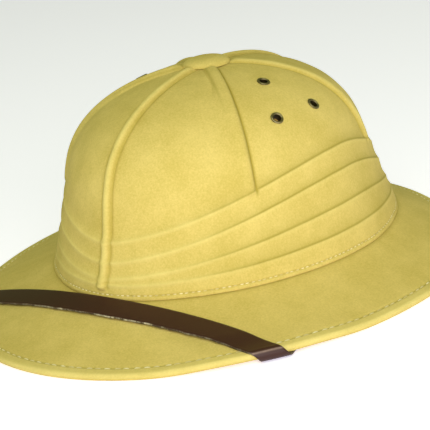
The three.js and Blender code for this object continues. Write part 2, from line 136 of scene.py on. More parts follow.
@dataclass
class Skin:
    """A closed mesh as arrays: points in millimetres, faces, cloth coordinates and masks."""

    points: Array
    quads: Array
    triangles: Array
    cloth: Optional[Array] = None
    masks: dict[str, Array] = field(default_factory=dict)

    @classmethod
    def from_rings(
        cls,
        rings: Array,
        poles: Optional[tuple[Array, Array]] = None,
        cloth_near: Optional[Array] = None,
        cloth_far: Optional[Array] = None,
        masks: Optional[dict[str, Array]] = None,
    ) -> "Skin":
        """Closes a stack of rings into one skin.

        Each face spans columns c and c + 1 and rows r and r + 1. Without poles the last ring
        joins the first one; with poles both ends close in a fan.

        Args:
            rings: Points of shape (rows, columns, 3).
            poles: Points that close the first and the last ring.
            cloth_near: Cloth coordinates of each face's first column, shape (rows, columns, 2).
            cloth_far: The same for the face's second column.
            masks: Values of shape (rows, columns) for each named mask.

        Returns:
            The skin, with its faces pointing out.
        """
        rows, columns = rings.shape[:2]
        points = rings.reshape(-1, 3)
        row_count = rows - 1 if poles else rows
        row, column = np.meshgrid(np.arange(row_count), np.arange(columns), indexing="ij")
        above, beside = (row + 1) % rows, (column + 1) % columns
        corners = [(row, column), (row, beside), (above, beside), (above, column)]
        quads = np.stack([r * columns + c for r, c in corners], -1).reshape(-1, 4)
        cloth = None
        if cloth_near is not None:
            spans = [(row, cloth_near), (row, cloth_far), (above, cloth_far), (above, cloth_near)]
            cloth = np.stack([side[r, column] for r, side in spans], 2).reshape(-1, 2)
        triangles = np.zeros((0, 3), int)
        values = {name: value.reshape(-1) for name, value in (masks or {}).items()}
        if poles:
            start, end = len(points), len(points) + 1
            points = np.concatenate([points, np.array(poles)])
            here = np.arange(columns)
            beside_here = (here + 1) % columns
            last = (rows - 1) * columns
            first_fan = np.stack([np.full(columns, start), beside_here, here], -1)
            last_fan = np.stack([np.full(columns, end), last + here, last + beside_here], -1)
            triangles = np.concatenate([first_fan, last_fan])
            values = {
                name: np.append(value, [value[0], value[-1]]) for name, value in values.items()
            }
            if cloth is not None:
                ends = []
                for ring in (0, rows - 1):
                    near, far = cloth_near[ring], cloth_far[ring]
                    middle = np.zeros_like(near)
                    pair = (far, near) if ring == 0 else (near, far)
                    ends.append(np.stack([middle, *pair], 1).reshape(-1, 2))
                cloth = np.concatenate([cloth, *ends])
        return cls(points, quads, triangles, cloth, values).facing_out()

    def facing_out(self) -> "Skin":
        """Turns every face round if the enclosed volume comes out negative.

        Returns:
            This same skin.
        """
        fans = [self.quads[:, [0, 1, 2]], self.quads[:, [0, 2, 3]], self.triangles]
        corners = self.points[np.concatenate(fans)]
        volume = np.einsum("ij,ij->", corners[:, 0], np.cross(corners[:, 1], corners[:, 2]))
        if volume < 0:
            if self.cloth is not None:
                quad_loops = self.cloth[: self.quads.size].reshape(-1, 4, 2)[:, ::-1]
                fan_loops = self.cloth[self.quads.size :].reshape(-1, 3, 2)[:, ::-1]
                self.cloth = np.concatenate([quad_loops.reshape(-1, 2), fan_loops.reshape(-1, 2)])
            self.quads = self.quads[:, ::-1]
            self.triangles = self.triangles[:, ::-1]
        return self

    def joined(self, others: Sequence["Skin"]) -> "Skin":
        """This skin and others of the same kind as one set of loose closed bodies.

        Args:
            others: Skins with the same masks.

        Returns:
            One skin of all of them.
        """
        skins = [self, *others]
        starts = np.cumsum([0] + [len(skin.points) for skin in skins[:-1]])
        return Skin(
            np.concatenate([skin.points for skin in skins]),
            np.concatenate([skin.quads + start for skin, start in zip(skins, starts)]),
            np.concatenate([skin.triangles + start for skin, start in zip(skins, starts)]),
            None,
            {name: np.concatenate([s.masks[name] for s in skins]) for name in self.masks},
        )

    def to_object(self, name: str, material: bpy.types.Material) -> bpy.types.Object:
        """Puts the skin into a smooth-shaded object at the origin.

        Args:
            name: Name of the piece.
            material: Its finish.

        Returns:
            The linked object.
        """
        mesh = bpy.data.meshes.new(name)
        loops = np.concatenate([self.quads.reshape(-1), self.triangles.reshape(-1)])
        sizes = np.repeat([4, 3], [len(self.quads), len(self.triangles)])
        starts = np.cumsum(sizes) - sizes
        mesh.vertices.add(len(self.points))
        mesh.vertices.foreach_set("co", (self.points * METRES).astype(np.float32).ravel())
        mesh.loops.add(len(loops))
        mesh.loops.foreach_set("vertex_index", loops.astype(np.int32))
        mesh.polygons.add(len(sizes))
        mesh.polygons.foreach_set("loop_start", starts.astype(np.int32))
        mesh.update(calc_edges=True)
        mesh.polygons.foreach_set("use_smooth", np.ones(len(sizes), bool))
        if self.cloth is not None:
            layer = mesh.uv_layers.new(name="cloth")
            layer.data.foreach_set("uv", (self.cloth * METRES).astype(np.float32).ravel())
        for mask, values in self.masks.items():
            attribute = mesh.attributes.new(mask, "FLOAT", "POINT")
            attribute.data.foreach_set("value", values.astype(np.float32))
        mesh.validate()
        mesh.materials.append(material)
        piece = bpy.data.objects.new(name, mesh)
        bpy.context.scene.collection.objects.link(piece)
        return piece


# Shader building blocks


class Value:
    """One output of a shader node, which adds, subtracts and multiplies like a number."""

    def __init__(self, shader: "Shader", socket: bpy.types.NodeSocket) -> None:
        """Keeps the shader that the output belongs to, and the output itself."""
        self.shader = shader
        self.socket = socket

    def _math(self, operation: str, first: object, second: object = 0.0) -> "Value":
        """A Math node on two values or numbers."""
        return self.shader.node("ShaderNodeMath", {"operation": operation}, {0: first, 1: second})

    def __add__(self, other: object) -> "Value":
        """self + other."""
        return self._math("ADD", self, other)

    def __radd__(self, other: object) -> "Value":
        """other + self."""
        return self._math("ADD", other, self)

    def __sub__(self, other: object) -> "Value":
        """self - other."""
        return self._math("SUBTRACT", self, other)

    def __rsub__(self, other: object) -> "Value":
        """other - self."""
        return self._math("SUBTRACT", other, self)

    def __mul__(self, other: object) -> "Value":
        """self * other."""
        return self._math("MULTIPLY", self, other)

    def __rmul__(self, other: object) -> "Value":
        """other * self."""
        return self._math("MULTIPLY", other, self)

    def sine(self) -> "Value":
        """The sine of the value."""
        return self._math("SINE", self)

    def held(self) -> "Value":
        """The value held between 0 and 1."""
        return self.shader.node("ShaderNodeClamp", {}, {"Value": self})

    def beside(self, output: int) -> "Value":
        """Another output of the same node, by its number."""
        return Value(self.shader, self.socket.node.outputs[output])


@dataclass(frozen=True)
class Noise:
    """One noise: its features per metre, its octaves of detail, and how rough they are."""

    scale: float
    detail: float = 3.0
    rough: float = 0.55


class Shader:
    """One material under construction."""

    def __init__(self, name: str) -> None:
        """Makes an empty material with one Principled shader.

        Args:
            name: Name of the material.
        """
        self.material = bpy.data.materials.new(name)
        self.material.use_nodes = True
        self.tree = self.material.node_tree
        self.principled = self.tree.nodes["Principled BSDF"]

    def node(
        self,
        kind: str,
        settings: Optional[dict[str, object]] = None,
        inputs: Optional[dict[Union[str, int], object]] = None,
        output: Union[str, int] = 0,
    ) -> Value:
        """Adds a node.

        Args:
            kind: Blender's name of the node type.
            settings: Properties of the node, which are set first.
            inputs: Numbers, colours or other values for its inputs, by name or number.
            output: Which output to return.

        Returns:
            The chosen output.
        """
        made = self.tree.nodes.new(kind)
        for key, setting in (settings or {}).items():
            setattr(made, key, setting)
        for key, given in (inputs or {}).items():
            self.feed(made.inputs[key], given)
        return Value(self, made.outputs[output])

    def feed(self, socket: bpy.types.NodeSocket, given: object) -> None:
        """Links a value to an input, or sets a plain number or colour on it.

        Args:
            socket: Input of a node.
            given: A value to link, or a number or colour to set.
        """
        if isinstance(given, Value):
            self.tree.links.new(given.socket, socket)
        elif isinstance(given, tuple) and len(socket.default_value) == 4:
            socket.default_value = (*given, 1.0)
        else:
            socket.default_value = given

    def set(self, **inputs: object) -> None:
        """Feeds inputs of the Principled shader; underscores stand for spaces."""
        for name, given in inputs.items():
            self.feed(self.principled.inputs[name.replace("_", " ")], given)

    def place(self, output: str = "Object") -> Value:
        """Object or UV coordinates."""
        return self.node("ShaderNodeTexCoord", output=output)

    def noise(self, where: Value, noise: Noise) -> Value:
        """Noise from 0 to 1 at a place."""
        inputs = {"Scale": noise.scale, "Detail": noise.detail, "Roughness": noise.rough}
        return self.node("ShaderNodeTexNoise", {}, {"Vector": where, **inputs})

    def mask(self, name: str) -> Value:
        """A mask that the mesh carries."""
        return self.node("ShaderNodeAttribute", {"attribute_name": name}, output="Fac")

    def mix(self, share: object, first: object, second: object) -> Value:
        """Mixes two colours."""
        inputs = {0: share, 6: first, 7: second}
        return self.node("ShaderNodeMix", {"data_type": "RGBA"}, inputs, output=2)

    def bump(self, height: Value, depth: float, strength: float) -> None:
        """Feeds the Normal input from a height; depth is the height of 1, in metres."""
        inputs = {"Height": height, "Distance": depth, "Strength": strength}
        self.set(Normal=self.node("ShaderNodeBump", {}, inputs))


@dataclass(frozen=True)
class ClothFinish:
    """Matt khaki cotton with a fine plain weave and soft mottling, with painted shade in its
    creases and a painted highlight on its crests.
    """

    name: str = "khaki_cloth"
    light: Colour = (0.78, 0.605, 0.185)
    dark: Colour = (0.62, 0.475, 0.11)
    # Painted shade: the colour laid beside the ribs, along the seams and above the folds.
    crease: Colour = (0.33, 0.25, 0.02)
    # Painted highlight: the colour laid on rib crests, fold lips, the button's top and the brim's
    # hem.
    crest: Colour = (0.86, 0.72, 0.25)
    mottling: Noise = Noise(46.0, 4.0, 0.62)
    fleck: Noise = Noise(900.0, 2.0, 0.7)
    nap: Noise = Noise(260.0, 3.0, 0.6)
    contrast: float = 1.7
    crest_least: float = 0.3
    thread_pitch: float = 0.00072
    thread_depth: float = 0.00007
    nap_depth: float = 0.00025
    relief: float = 0.7
    roughness: float = 0.86
    roughness_spread: float = 0.12
    gloss: float = 0.12
    sheen: float = 0.04
    sheen_roughness: float = 0.6
    sheen_tint: Colour = (1.0, 0.93, 0.66)

    def material(self) -> bpy.types.Material:
        """Builds the finish.

        Weave: sine of the warp place times sine of the weft place. Colour: mottling and fleck
        mix light and dark, then the painted highlight mask lightens and the painted shade mask
        darkens.

        Returns:
            The material.
        """
        shader = Shader(self.name)
        where = shader.place()
        mottling = shader.noise(where, self.mottling)
        fleck = shader.noise(where, self.fleck)
        share = ((mottling - 0.5) * self.contrast + (fleck - 0.5) * self.contrast + 0.5).held()
        cloth = shader.mix(share, self.dark, self.light)
        # Painted highlight on the crests, varied by the mottling.
        raised = (shader.mask("crest") * (mottling + self.crest_least)).held()
        cloth = shader.mix(raised, cloth, self.crest)
        # Painted shade in the creases.
        cloth = shader.mix(shader.mask("crease").held(), cloth, self.crease)
        warp = shader.node("ShaderNodeSeparateXYZ", {}, {0: shader.place("UV")})
        weft = warp.beside(1)
        beat = TURN / self.thread_pitch
        weave = (warp * beat).sine() * (weft * beat).sine()
        nap = shader.noise(where, self.nap)
        height = weave * (self.thread_depth / self.nap_depth) + nap + mottling
        shader.bump(height, self.nap_depth, self.relief)
        shader.set(
            Base_Color=cloth,
            Roughness=(self.roughness + (fleck - 0.5) * self.roughness_spread).held(),
            Specular_IOR_Level=self.gloss,
            Sheen_Weight=self.sheen,
            Sheen_Roughness=self.sheen_roughness,
            Sheen_Tint=self.sheen_tint,
        )
        return shader.material


@dataclass(frozen=True)
class LeatheretteFinish:
    """Smooth dark brown leatherette with a pale raw edge, faint grain and a pale band along the
    crease at the rim.
    """

    name: str = "brown_leatherette"
    light: Colour = (0.052, 0.016, 0.01)
    dark: Colour = (0.034, 0.01, 0.006)
    edge_pale: Colour = (0.62, 0.56, 0.38)
    edge_dark: Colour = (0.07, 0.045, 0.022)
    # Pale colour of the band along the strap's crease at the rim.
    crease: Colour = (0.3, 0.2, 0.16)
    cloud: Noise = Noise(30.0)
    scuff: Noise = Noise(400.0)
    fray: Noise = Noise(170.0, 4.0, 0.7)
    fray_start: float = 0.44
    fray_contrast: float = 8.0
    scuff_least: float = 0.35
    grain_scale: float = 1300.0
    grain_depth: float = 0.00006
    relief: float = 0.6
    roughness: float = 0.42
    roughness_spread: float = 0.2
    raw_roughness: float = 0.5
    gloss: float = 0.32

    def material(self) -> bpy.types.Material:
        """Builds the finish.

        The mask "raw" is 1 on the cut edges, "frayed" says where noise bares their pale backing,
        and a third mask is 1 along the crease at the rim, where the colour turns pale.

        Returns:
            The material.
        """
        shader = Shader(self.name)
        where = shader.place()
        cloud = shader.noise(where, self.cloud)
        grain_inputs = {"Vector": where, "Scale": self.grain_scale}
        grain = shader.node("ShaderNodeTexVoronoi", {"feature": "F1"}, grain_inputs)
        body = shader.mix(cloud, self.dark, self.light)
        # A speckled pale band along the crease at the rim.
        scuff = shader.noise(where, self.scuff) + self.scuff_least
        body = shader.mix((shader.mask("worn") * scuff).held(), body, self.crease)
        fray = (shader.noise(where, self.fray) - self.fray_start) * self.fray_contrast
        fray = (fray * shader.mask("frayed")).held()
        edge = shader.mix(fray, self.edge_dark, self.edge_pale)
        raw = shader.mask("raw").held()
        shader.bump(grain + cloud * 2.0, self.grain_depth, self.relief)
        roughness = self.roughness + (cloud - 0.5) * self.roughness_spread
        shader.set(
            Base_Color=shader.mix(raw, body, edge),
            Roughness=(roughness + raw * self.raw_roughness).held(),
            Specular_IOR_Level=self.gloss,
        )
        return shader.material


@dataclass(frozen=True)
class BrassFinish:
    """Antique brass: dark in the hollows, rubbed bright on the raised parts."""

    name: str = "antique_brass"
    dark: Colour = (0.05, 0.038, 0.014)
    bright: Colour = (0.36, 0.29, 0.14)
    spots: Noise = Noise(700.0, 4.0, 0.7)
    spots_depth: float = 0.00004
    rubbed_least: float = 0.35
    relief: float = 0.5
    roughness: float = 0.36
    hollow_roughness: float = 0.22

    def material(self) -> bpy.types.Material:
        """Builds the finish; a mask that is 1 on the raised parts, where wear rubs the brass
        bright.

        Returns:
            The material.
        """
        shader = Shader(self.name)
        spots = shader.noise(shader.place(), self.spots)
        rubbed = (shader.mask("crest") * (spots + self.rubbed_least)).held()
        shader.bump(spots, self.spots_depth, self.relief)
        shader.set(
            Base_Color=shader.mix(rubbed, self.dark, self.bright),
            Metallic=1.0,
            Roughness=(self.roughness + (1.0 - rubbed) * self.hollow_roughness).held(),
        )
        return shader.material


@dataclass(frozen=True)
class ThreadFinish:
    """Pale khaki sewing thread with a twist."""

    name: str = "pale_thread"
    light: Colour = (0.92, 0.84, 0.5)
    dark: Colour = (0.6, 0.48, 0.16)
    tone: Noise = Noise(160.0, 2.0)
    twist: Noise = Noise(2600.0, 1.0)
    contrast: float = 3.0
    lightness: float = 0.6
    twist_depth: float = 0.00008
    relief: float = 0.6
    roughness: float = 0.7
    roughness_spread: float = 0.2

    def material(self) -> bpy.types.Material:
        """Builds the finish; noise varies the stitches.

        Returns:
            The material.
        """
        shader = Shader(self.name)
        where = shader.place()
        tone = ((shader.noise(where, self.tone) - 0.5) * self.contrast + self.lightness).held()
        twist = shader.noise(where, self.twist)
        shader.bump(twist, self.twist_depth, self.relief)
        shader.set(
            Base_Color=shader.mix(tone, self.dark, self.light),
            Roughness=(self.roughness + twist * self.roughness_spread).held(),
        )
        return shader.material


@dataclass(frozen=True)
class FloorFinish:
    """Plain pale studio floor."""

    name: str = "pale_floor"
    light: Colour = (0.95, 0.95, 0.95)
    dark: Colour = (0.92, 0.92, 0.92)
    drift: Noise = Noise(1.5, 1.0)
    roughness: float = 0.85
    glow: float = 0.55
    glow_tint: Colour = (0.85, 0.8, 1.0)

    def material(self) -> bpy.types.Material:
        """Builds the finish: almost even, with a very soft drift.

        Returns:
            The material.
        """
        shader = Shader(self.name)
        drift = shader.noise(shader.place(), self.drift)
        shader.set(
            Base_Color=shader.mix(drift, self.dark, self.light),
            Roughness=self.roughness,
            Emission_Color=self.glow_tint,
            Emission_Strength=self.glow,
        )
        return shader.material


# The crown


@dataclass(frozen=True)
class Rib:
    """One rib: its angle in degrees, its shares of the named rib sizes, and its form.

    lap is 0 for a round bead, and 1 for a lapped seam: its edge towards the side of the helmet
    is crisp, and its other side runs out softly into the panel. ear is the sign of the angle
    towards that crisp side.
    """

    angle: float
    width: float
    height: float
    to_hem: bool
    lap: float = 0.0
    ear: int = 1


@dataclass(frozen=True)
class Fold:
    """One fold of the wound band: heights as shares of the crown's height, and its step."""

    at_ends: float
    at_sides: float
    step: float


FOLDS = (
    Fold(0.287, 0.556, 1.6),
    Fold(0.184, 0.433, 1.3),
    Fold(0.107, 0.265, 1.2),
    Fold(0.076, 0.129, 1.1),
)

# Polar angles of the ribs over the left temple and behind the left ear, in degrees.
TEMPLE, EAR = -42.5, 32.0
RIBS = (
    Rib(-90.0, 0.9, 1.1, True),
    Rib(TEMPLE, 1.1, 1.15, False, 1.0, 1),
    Rib(EAR, 1.0, 1.0, False),
    Rib(90.0, 0.9, 1.1, True),
    Rib(180.0 - EAR, 1.0, 1.0, False),
    Rib(180.0 - TEMPLE, 1.1, 1.15, False, 1.0, -1),
)


@dataclass
class CrownForm:
    """The shape of the crown as formulas; the same named sizes as the solid."""

    half_length: float = 112.0
    half_width: float = 92.0
    height: float = 108.5
    wall: float = 2.8
    plan_power: float = 1.87
    radius_power: float = 2.0
    height_power: float = 3.95
    foot_height: float = 21.9
    centre_y: float = 12.0
    rib_height: float = 2.4
    rib_half_width: float = 3.4
    rib_roundness: float = 0.6
    rib_end: float = 4.0
    rib_foot_fade: float = 3.0
    rib_fold_fade: float = 5.0
    rib_top_start: float = 0.8
    rib_top_span: float = 0.35
    # Place and width of the painted shade along a rib's foot, and its strength on a lap's soft and
    # crisp sides.
    rib_crease_away: float = 0.3
    rib_crease_width: float = 0.95
    rib_soft_shade: float = 0.8
    rib_crisp_shade: float = 1.6
    soft_reach: float = 10.0
    soft_start: float = 38.0
    soft_span: float = 36.0
    fold_front_power: float = 1.4
    fold_back_power: float = 2.8
    fold_ramp_side: float = 6.0
    fold_ramp_front: float = 6.5
    fold_side_start: float = 0.15
    fold_side_span: float = 0.7
    lip_side: float = 0.12
    lip_front: float = 0.4
    lip_below: float = 0.5
    lip_width: float = 1.1
    nick_depth: float = 0.3
    nick_above: float = 0.35
    nick_width: float = 0.4
    flare_reach: float = 8.4
    flare_power: float = 1.6
    flare_start: float = 0.45
    hem_height: float = 2.6
    hem_puff: float = 0.3
    hem_groove: float = 0.4
    button_radius: float = 16.0
    unevenness: float = 0.072

    @property
    def foot_relief(self) -> float:
        """How far the foot stands out from the dome."""
        return sum(fold.step for fold in FOLDS) + self.flare_reach

    def dome_radius_share(self, share: Number) -> Array:
        """Radius share of the dome: (1 - height share ^ b) ^ (1 / a)."""
        return np.maximum(1.0 - share**self.height_power, 0.0) ** (1.0 / self.radius_power)

    def dome_height_share(self, share: Number) -> Array:
        """Height share of the dome: (1 - radius share ^ a) ^ (1 / b)."""
        return np.maximum(1.0 - share**self.radius_power, 0.0) ** (1.0 / self.height_power)

    def plan_radius(self, angle: Number) -> Array:
        """Radius of the dome's oval plan at its foot."""
        return oval_radius(angle, self.half_width, self.half_length, self.plan_power)

    def foot_radius(self, angle: Number) -> Array:
        """Radius of the foot: the plan's half axes, each longer by the foot's relief."""
        wide, long = self.half_width + self.foot_relief, self.half_length + self.foot_relief
        return oval_radius(angle, wide, long, self.plan_power)

    def fold_line(self, fold: Fold, angle: Number) -> Array:
        """Height of a fold: from its end height to its side height with |cos| to a power.

        Args:
            fold: One fold of the band.
            angle: Polar angle in radians.

        Returns:
            Height of its line above the crown's foot.
        """
        power = np.where(np.sin(angle) > 0, self.fold_back_power, self.fold_front_power)
        rise = np.abs(np.cos(angle)) ** power
        return self.height * between(fold.at_ends, fold.at_sides, rise)

    def flare(self, height: Number) -> Array:
        """Flare of the lower crown: reach times (1 - height / start) to a power."""
        below = np.maximum(1.0 - height / (self.flare_start * self.height), 0.0)
        return self.flare_reach * below**self.flare_power

    def fold_steps(self, height: Array, angle: Array) -> tuple[Array, Array]:
        """Relief of the folds.

        Going down, each fold sweeps out as the square of the way through its ramp, ends in a
        lip at its line, and then the next band goes straight down. The lip stands out at the
        front and the back. At the sides it is low, and a nick above the line deepens the step.

        Args:
            height: Height above the crown's foot.
            angle: Polar angle in radians.

        Returns:
            The relief of the first fold, and that of the other three.
        """
        side = smooth_step((np.abs(np.cos(angle)) - self.fold_side_start) / self.fold_side_span)
        ramp = between(self.fold_ramp_front, self.fold_ramp_side, side)
        lip = between(self.lip_front, self.lip_side, side)
        parts = []
        for fold in FOLDS:
            below = self.fold_line(fold, angle) - height
            sweep = np.clip(below / ramp + 1.0, 0.0, 1.0) ** 2.0
            bead = lip * bell(below - self.lip_below, self.lip_width)
            nick = self.nick_depth * side * bell(below + self.nick_above, self.nick_width)
            parts.append(fold.step * sweep + bead - nick)
        return parts[0], parts[1] + parts[2] + parts[3]

    def rib_softness(self, radius: Array) -> Array:
        """How far a lapped seam has turned from a bead near the button to a soft lap."""
        return smooth_step((radius - self.soft_start) / self.soft_span)

    def rib_profile(self, rib: Rib, distance: Array, radius: Array) -> Array:
        """Height of a rib's cross-section for a distance from its line.

        A bead is (1 - offset squared) ^ roundness. A lapped seam keeps that on its crisp side,
        and on its other side turns from the bead near the button into a long half cosine.

        Args:
            rib: The rib.
            distance: Distance from its line, positive towards larger angles.
            radius: Radius of the bare dome there.

        Returns:
            Share of the full height of the rib.
        """
        width = self.rib_half_width * rib.width
        bead = np.maximum(1.0 - (distance / width) ** 2, 0.0) ** self.rib_roundness
        if not rib.lap:
            return bead
        soft = self.rib_softness(radius)
        reach = between(width * 1.35, self.soft_reach, soft)
        away = np.clip(-distance * rib.ear / reach, 0.0, 1.0)
        long_side = between(
            np.maximum(1.0 - away**2, 0.0) ** self.rib_roundness,
            0.5 + 0.5 * np.cos(math.pi * away),
            soft,
        )
        return np.where(distance * rib.ear > 0, bead, long_side)

    def ribs(self, angle: Array, radius: Array, height: Array) -> dict[str, Array]:
        """Lift of the long and the short ribs, the mask of their feet, and painted highlight on
        crests.

        Args:
            angle: Polar angle of each point.
            radius: Radius of the bare dome there, which sets the distance from a rib's line.
            height: Height above the crown's foot.

        Returns:
            Arrays "long", "short", "foot" and the painted highlight of the crests.
        """
        from_top = radius / self.button_radius - self.rib_top_start
        top = smooth_step(from_top / self.rib_top_span)
        first_line = self.fold_line(FOLDS[0], angle)
        made = {key: np.zeros_like(radius) for key in ("long", "short", "foot", "crest")}
        for rib in RIBS:
            turn = angle - math.radians(rib.angle)
            distance = radius * np.sin(turn)
            near = np.cos(turn) > 0
            profile = np.where(near, self.rib_profile(rib, distance, radius), 0.0)
            if rib.to_hem:
                fade = smooth_step((height - self.rib_end) / self.rib_foot_fade)
            else:
                fade = smooth_step((height - first_line) / self.rib_fold_fade + 1.0)
            lift = self.rib_height * rib.height * profile * top * fade
            key = "long" if rib.to_hem else "short"
            made[key] = np.maximum(made[key], lift)
            width = self.rib_half_width * rib.width
            # Painted shade along the rib's foot: weak on a lap's soft side, stronger on its crisp
            # side.
            soft_edge = self.rib_soft_shade * (1.0 - self.rib_softness(radius))
            crisp_edge = between(1.0, self.rib_crisp_shade, rib.lap)
            edge = np.where(rib.lap * (distance * rib.ear < 0), soft_edge, crisp_edge)
            away = np.abs(distance) - width - self.rib_crease_away
            foot = bell(away, self.rib_crease_width) * edge * fade * top * near
            made["foot"] = np.maximum(made["foot"], foot)
            # Painted highlight along the crest of a round bead.
            made["crest"] = np.maximum(made["crest"], profile**3 * top * fade * (1.0 - rib.lap))
        return made

    def uneven(self, angle: Array, height: Array) -> Array:
        """Soft unevenness of hand-laid cloth: three waves round and up the crown."""
        waves = np.sin(7.0 * angle + height / 17.0) + np.sin(13.0 * angle - height / 11.0)
        return self.unevenness * (waves + np.sin(23.0 * angle + height / 6.0))

    def place(self, angle: Array, share: Array, relief: Array, lift: Array) -> Array:
        """A point of the crown.

        The oval dome at a height share, its half axes longer by the relief, then moved by the
        lift along the normal of |radius| ^ a + |height| ^ b = 1.

        Args:
            angle: Polar angle in radians.
            share: Share of the dome's height.
            relief: How far the oval grows.
            lift: Length along the normal.

        Returns:
            Points of shape (..., 3).
        """
        radius_share = self.dome_radius_share(share)
        wide = self.half_width * radius_share + relief + 1e-6
        long = self.half_length * radius_share + relief + 1e-6
        outward = self.radius_power / self.plan_radius(angle)
        outward = outward * radius_share ** (self.radius_power - 1.0)
        upward = self.height_power / self.height * share ** (self.height_power - 1.0)
        size = np.hypot(outward, upward)
        radius = oval_radius(angle, wide, long, self.plan_power) + lift * outward / size
        height = self.height * share + lift * upward / size + self.foot_height
        across, along = radius * np.cos(angle), radius * np.sin(angle) + self.centre_y
        return np.stack(np.broadcast_arrays(across, along, height), -1)

    def top(self, lift: float) -> Array:
        """The middle of the top, lifted by a length."""
        return np.array([0.0, self.centre_y, self.height + self.foot_height + lift])


@dataclass
class Crown:
    """The fine skin of the crown, and of the button, which lies on the same columns and rows.

    A row is a function that gives its height, or its share of the dome's height, for an angle.
    """

    form: CrownForm
    rib_columns: int = 9
    panel_columns: int = 38
    rib_most: float = 0.42
    hem_rows: tuple[float, ...] = (
        0.0, 0.25, 0.6, 1.0, 1.4, 1.8, 2.1, 2.35, 2.6, 2.85, 3.1, 3.5, 4.1
    )
    hem_gap: float = 0.6
    interval_rows: int = 15
    dome_rows: int = 66
    dome_crowding: float = 1.35
    cap_rows: int = 14
    inner_break: float = 0.5
    inner_foot_rows: int = 6
    inner_dome_rows: int = 26
    # Painted shade and painted highlight on the crown's ribs, seam and folds; rib_sink instead
    # sinks the cloth beside a rib.
    rib_shade: float = 0.5
    rib_sink: float = 0.28
    rib_shine: float = 0.55
    seam_shade: Stripe = Stripe(0.32, 0.0, 0.45)
    line_shade: Stripe = Stripe(0.38, 0.4, 0.65)
    lip_shine: Stripe = Stripe(0.6, -0.6, 1.3)
    side_shine: float = 0.45
    front_shade: float = 0.06
    shade_side_start: float = 0.32
    shade_side_span: float = 0.5
    fade_shade: float = 0.36
    fade_reach: float = 4.4
    fade_start: float = 0.4
    button_gap: float = 0.3
    button_reach: float = 15.0
    button_height: float = 4.5
    button_power: float = 3.0
    button_edge: float = 0.3
    button_round: float = 0.25
    button_rows: int = 8
    button_edge_turn: float = 1.1
    button_top: tuple[float, float] = (0.42, 0.06)
    # Painted shade round the button's edge and painted highlight over its top.
    button_shade: float = 0.5
    button_shine: float = 0.2

    def column_shares(self) -> tuple[Array, Array, Array]:
        """Columns of one sector: how far each lies through its first rib, panel and next rib.

        Returns:
            Three arrays that run from 0 to 1 one after the other.
        """
        rib = np.arange(self.rib_columns) / self.rib_columns
        none, full = np.zeros(self.rib_columns), np.ones(self.rib_columns)
        panel = clustered(self.panel_columns)
        long_none, long_full = np.zeros(self.panel_columns), np.ones(self.panel_columns)
        return (
            np.concatenate([rib, long_full, full]),
            np.concatenate([none, panel, full]),
            np.concatenate([none, long_none, rib]),
        )

    def angles(self, radius_at: Row) -> tuple[Array, Array]:
        """Angles of the columns of each row.

        Half a rib covers asin(half width / radius), at most a share of its sector, and the
        panel's columns share what is left between two ribs.

        Args:
            radius_at: Radius of each row in the middle of a sector.

        Returns:
            Angles (rows, columns), and the middle of the sector that each column's face is in.
        """
        first, panel, second = self.column_shares()
        blocks, middles = [], []
        for rib, following in zip(RIBS, RIBS[1:] + RIBS[:1]):
            sector = math.radians((following.angle - rib.angle) % 360.0)
            start = math.radians(rib.angle)
            radius = radius_at(np.array(start + sector / 2.0))[:, None]
            reach = []
            for end in (rib, following):
                width = self.form.rib_half_width * end.width
                half = np.arcsin(np.minimum(width / radius, 1.0))
                reach.append(np.minimum(half, sector * self.rib_most))
            free = sector - reach[0] - reach[1]
            blocks.append(start + reach[0] * first + free * panel + reach[1] * second)
            middles.append(np.full(len(first), start + sector / 2.0))
        return np.concatenate(blocks, 1), np.concatenate(middles)

    def level(self, height: float) -> Row:
        """The same height at every angle."""
        return lambda angle: np.zeros_like(angle) + height

    def fold_height(self, fold: Fold) -> Row:
        """The height of a fold."""
        return lambda angle: self.form.fold_line(fold, angle)

    def level_row(self, height: float) -> Row:
        """Height share of a level row."""
        return lambda angle: np.zeros_like(angle) + height / self.form.height

    def side_row(self, low: Row, high: Row, share: float) -> Row:
        """Height share of a row that lies a share of the way from one height to another."""
        return lambda angle: between(low(angle), high(angle), share) / self.form.height

    def dome_row(self, low: Row, share: float) -> Row:
        """Height share of a row that lies a share of the way from a height to the button."""
        return lambda angle: self.dome_share(low(angle), angle, share)

    def cap_row(self, radius: float) -> Row:
        """Height share of the row at a radius from the middle of the top."""
        form = self.form
        return lambda angle: form.dome_height_share(radius / form.plan_radius(angle))

    def outer_share_rows(self) -> list[Row]:
        """Height shares of the outer rows from the foot to the pole.

        Returns:
            One function of the angle for each row.
        """
        form = self.form
        rows = [self.level_row(height) for height in self.hem_rows]
        lines = [self.level(self.hem_rows[-1] + self.hem_gap)]
        lines += [self.fold_height(fold) for fold in FOLDS[::-1]]
        for low, high in zip(lines, lines[1:]):
            rows += [self.side_row(low, high, share) for share in clustered(self.interval_rows)]
        dome = (np.arange(self.dome_rows + 1) / self.dome_rows) ** self.dome_crowding
        rows += [self.dome_row(lines[-1], share) for share in dome]
        cap = 1.0 - np.arange(1, self.cap_rows) / self.cap_rows
        return rows + [self.cap_row(share * form.button_radius) for share in cap]

    def inner_share_rows(self) -> list[Row]:
        """Height shares of the inner rows from the foot to the pole.

        Returns:
            One function of the angle for each row.
        """
        low = self.form.fold_line(FOLDS[0], 0.0) * self.inner_break
        foot = np.arange(self.inner_foot_rows) / self.inner_foot_rows
        rows = [self.level_row(share * low) for share in foot]
        dome = np.arange(self.inner_dome_rows) / (self.inner_dome_rows - 1.0)
        return rows + [self.dome_row(self.level(low), share) for share in dome]

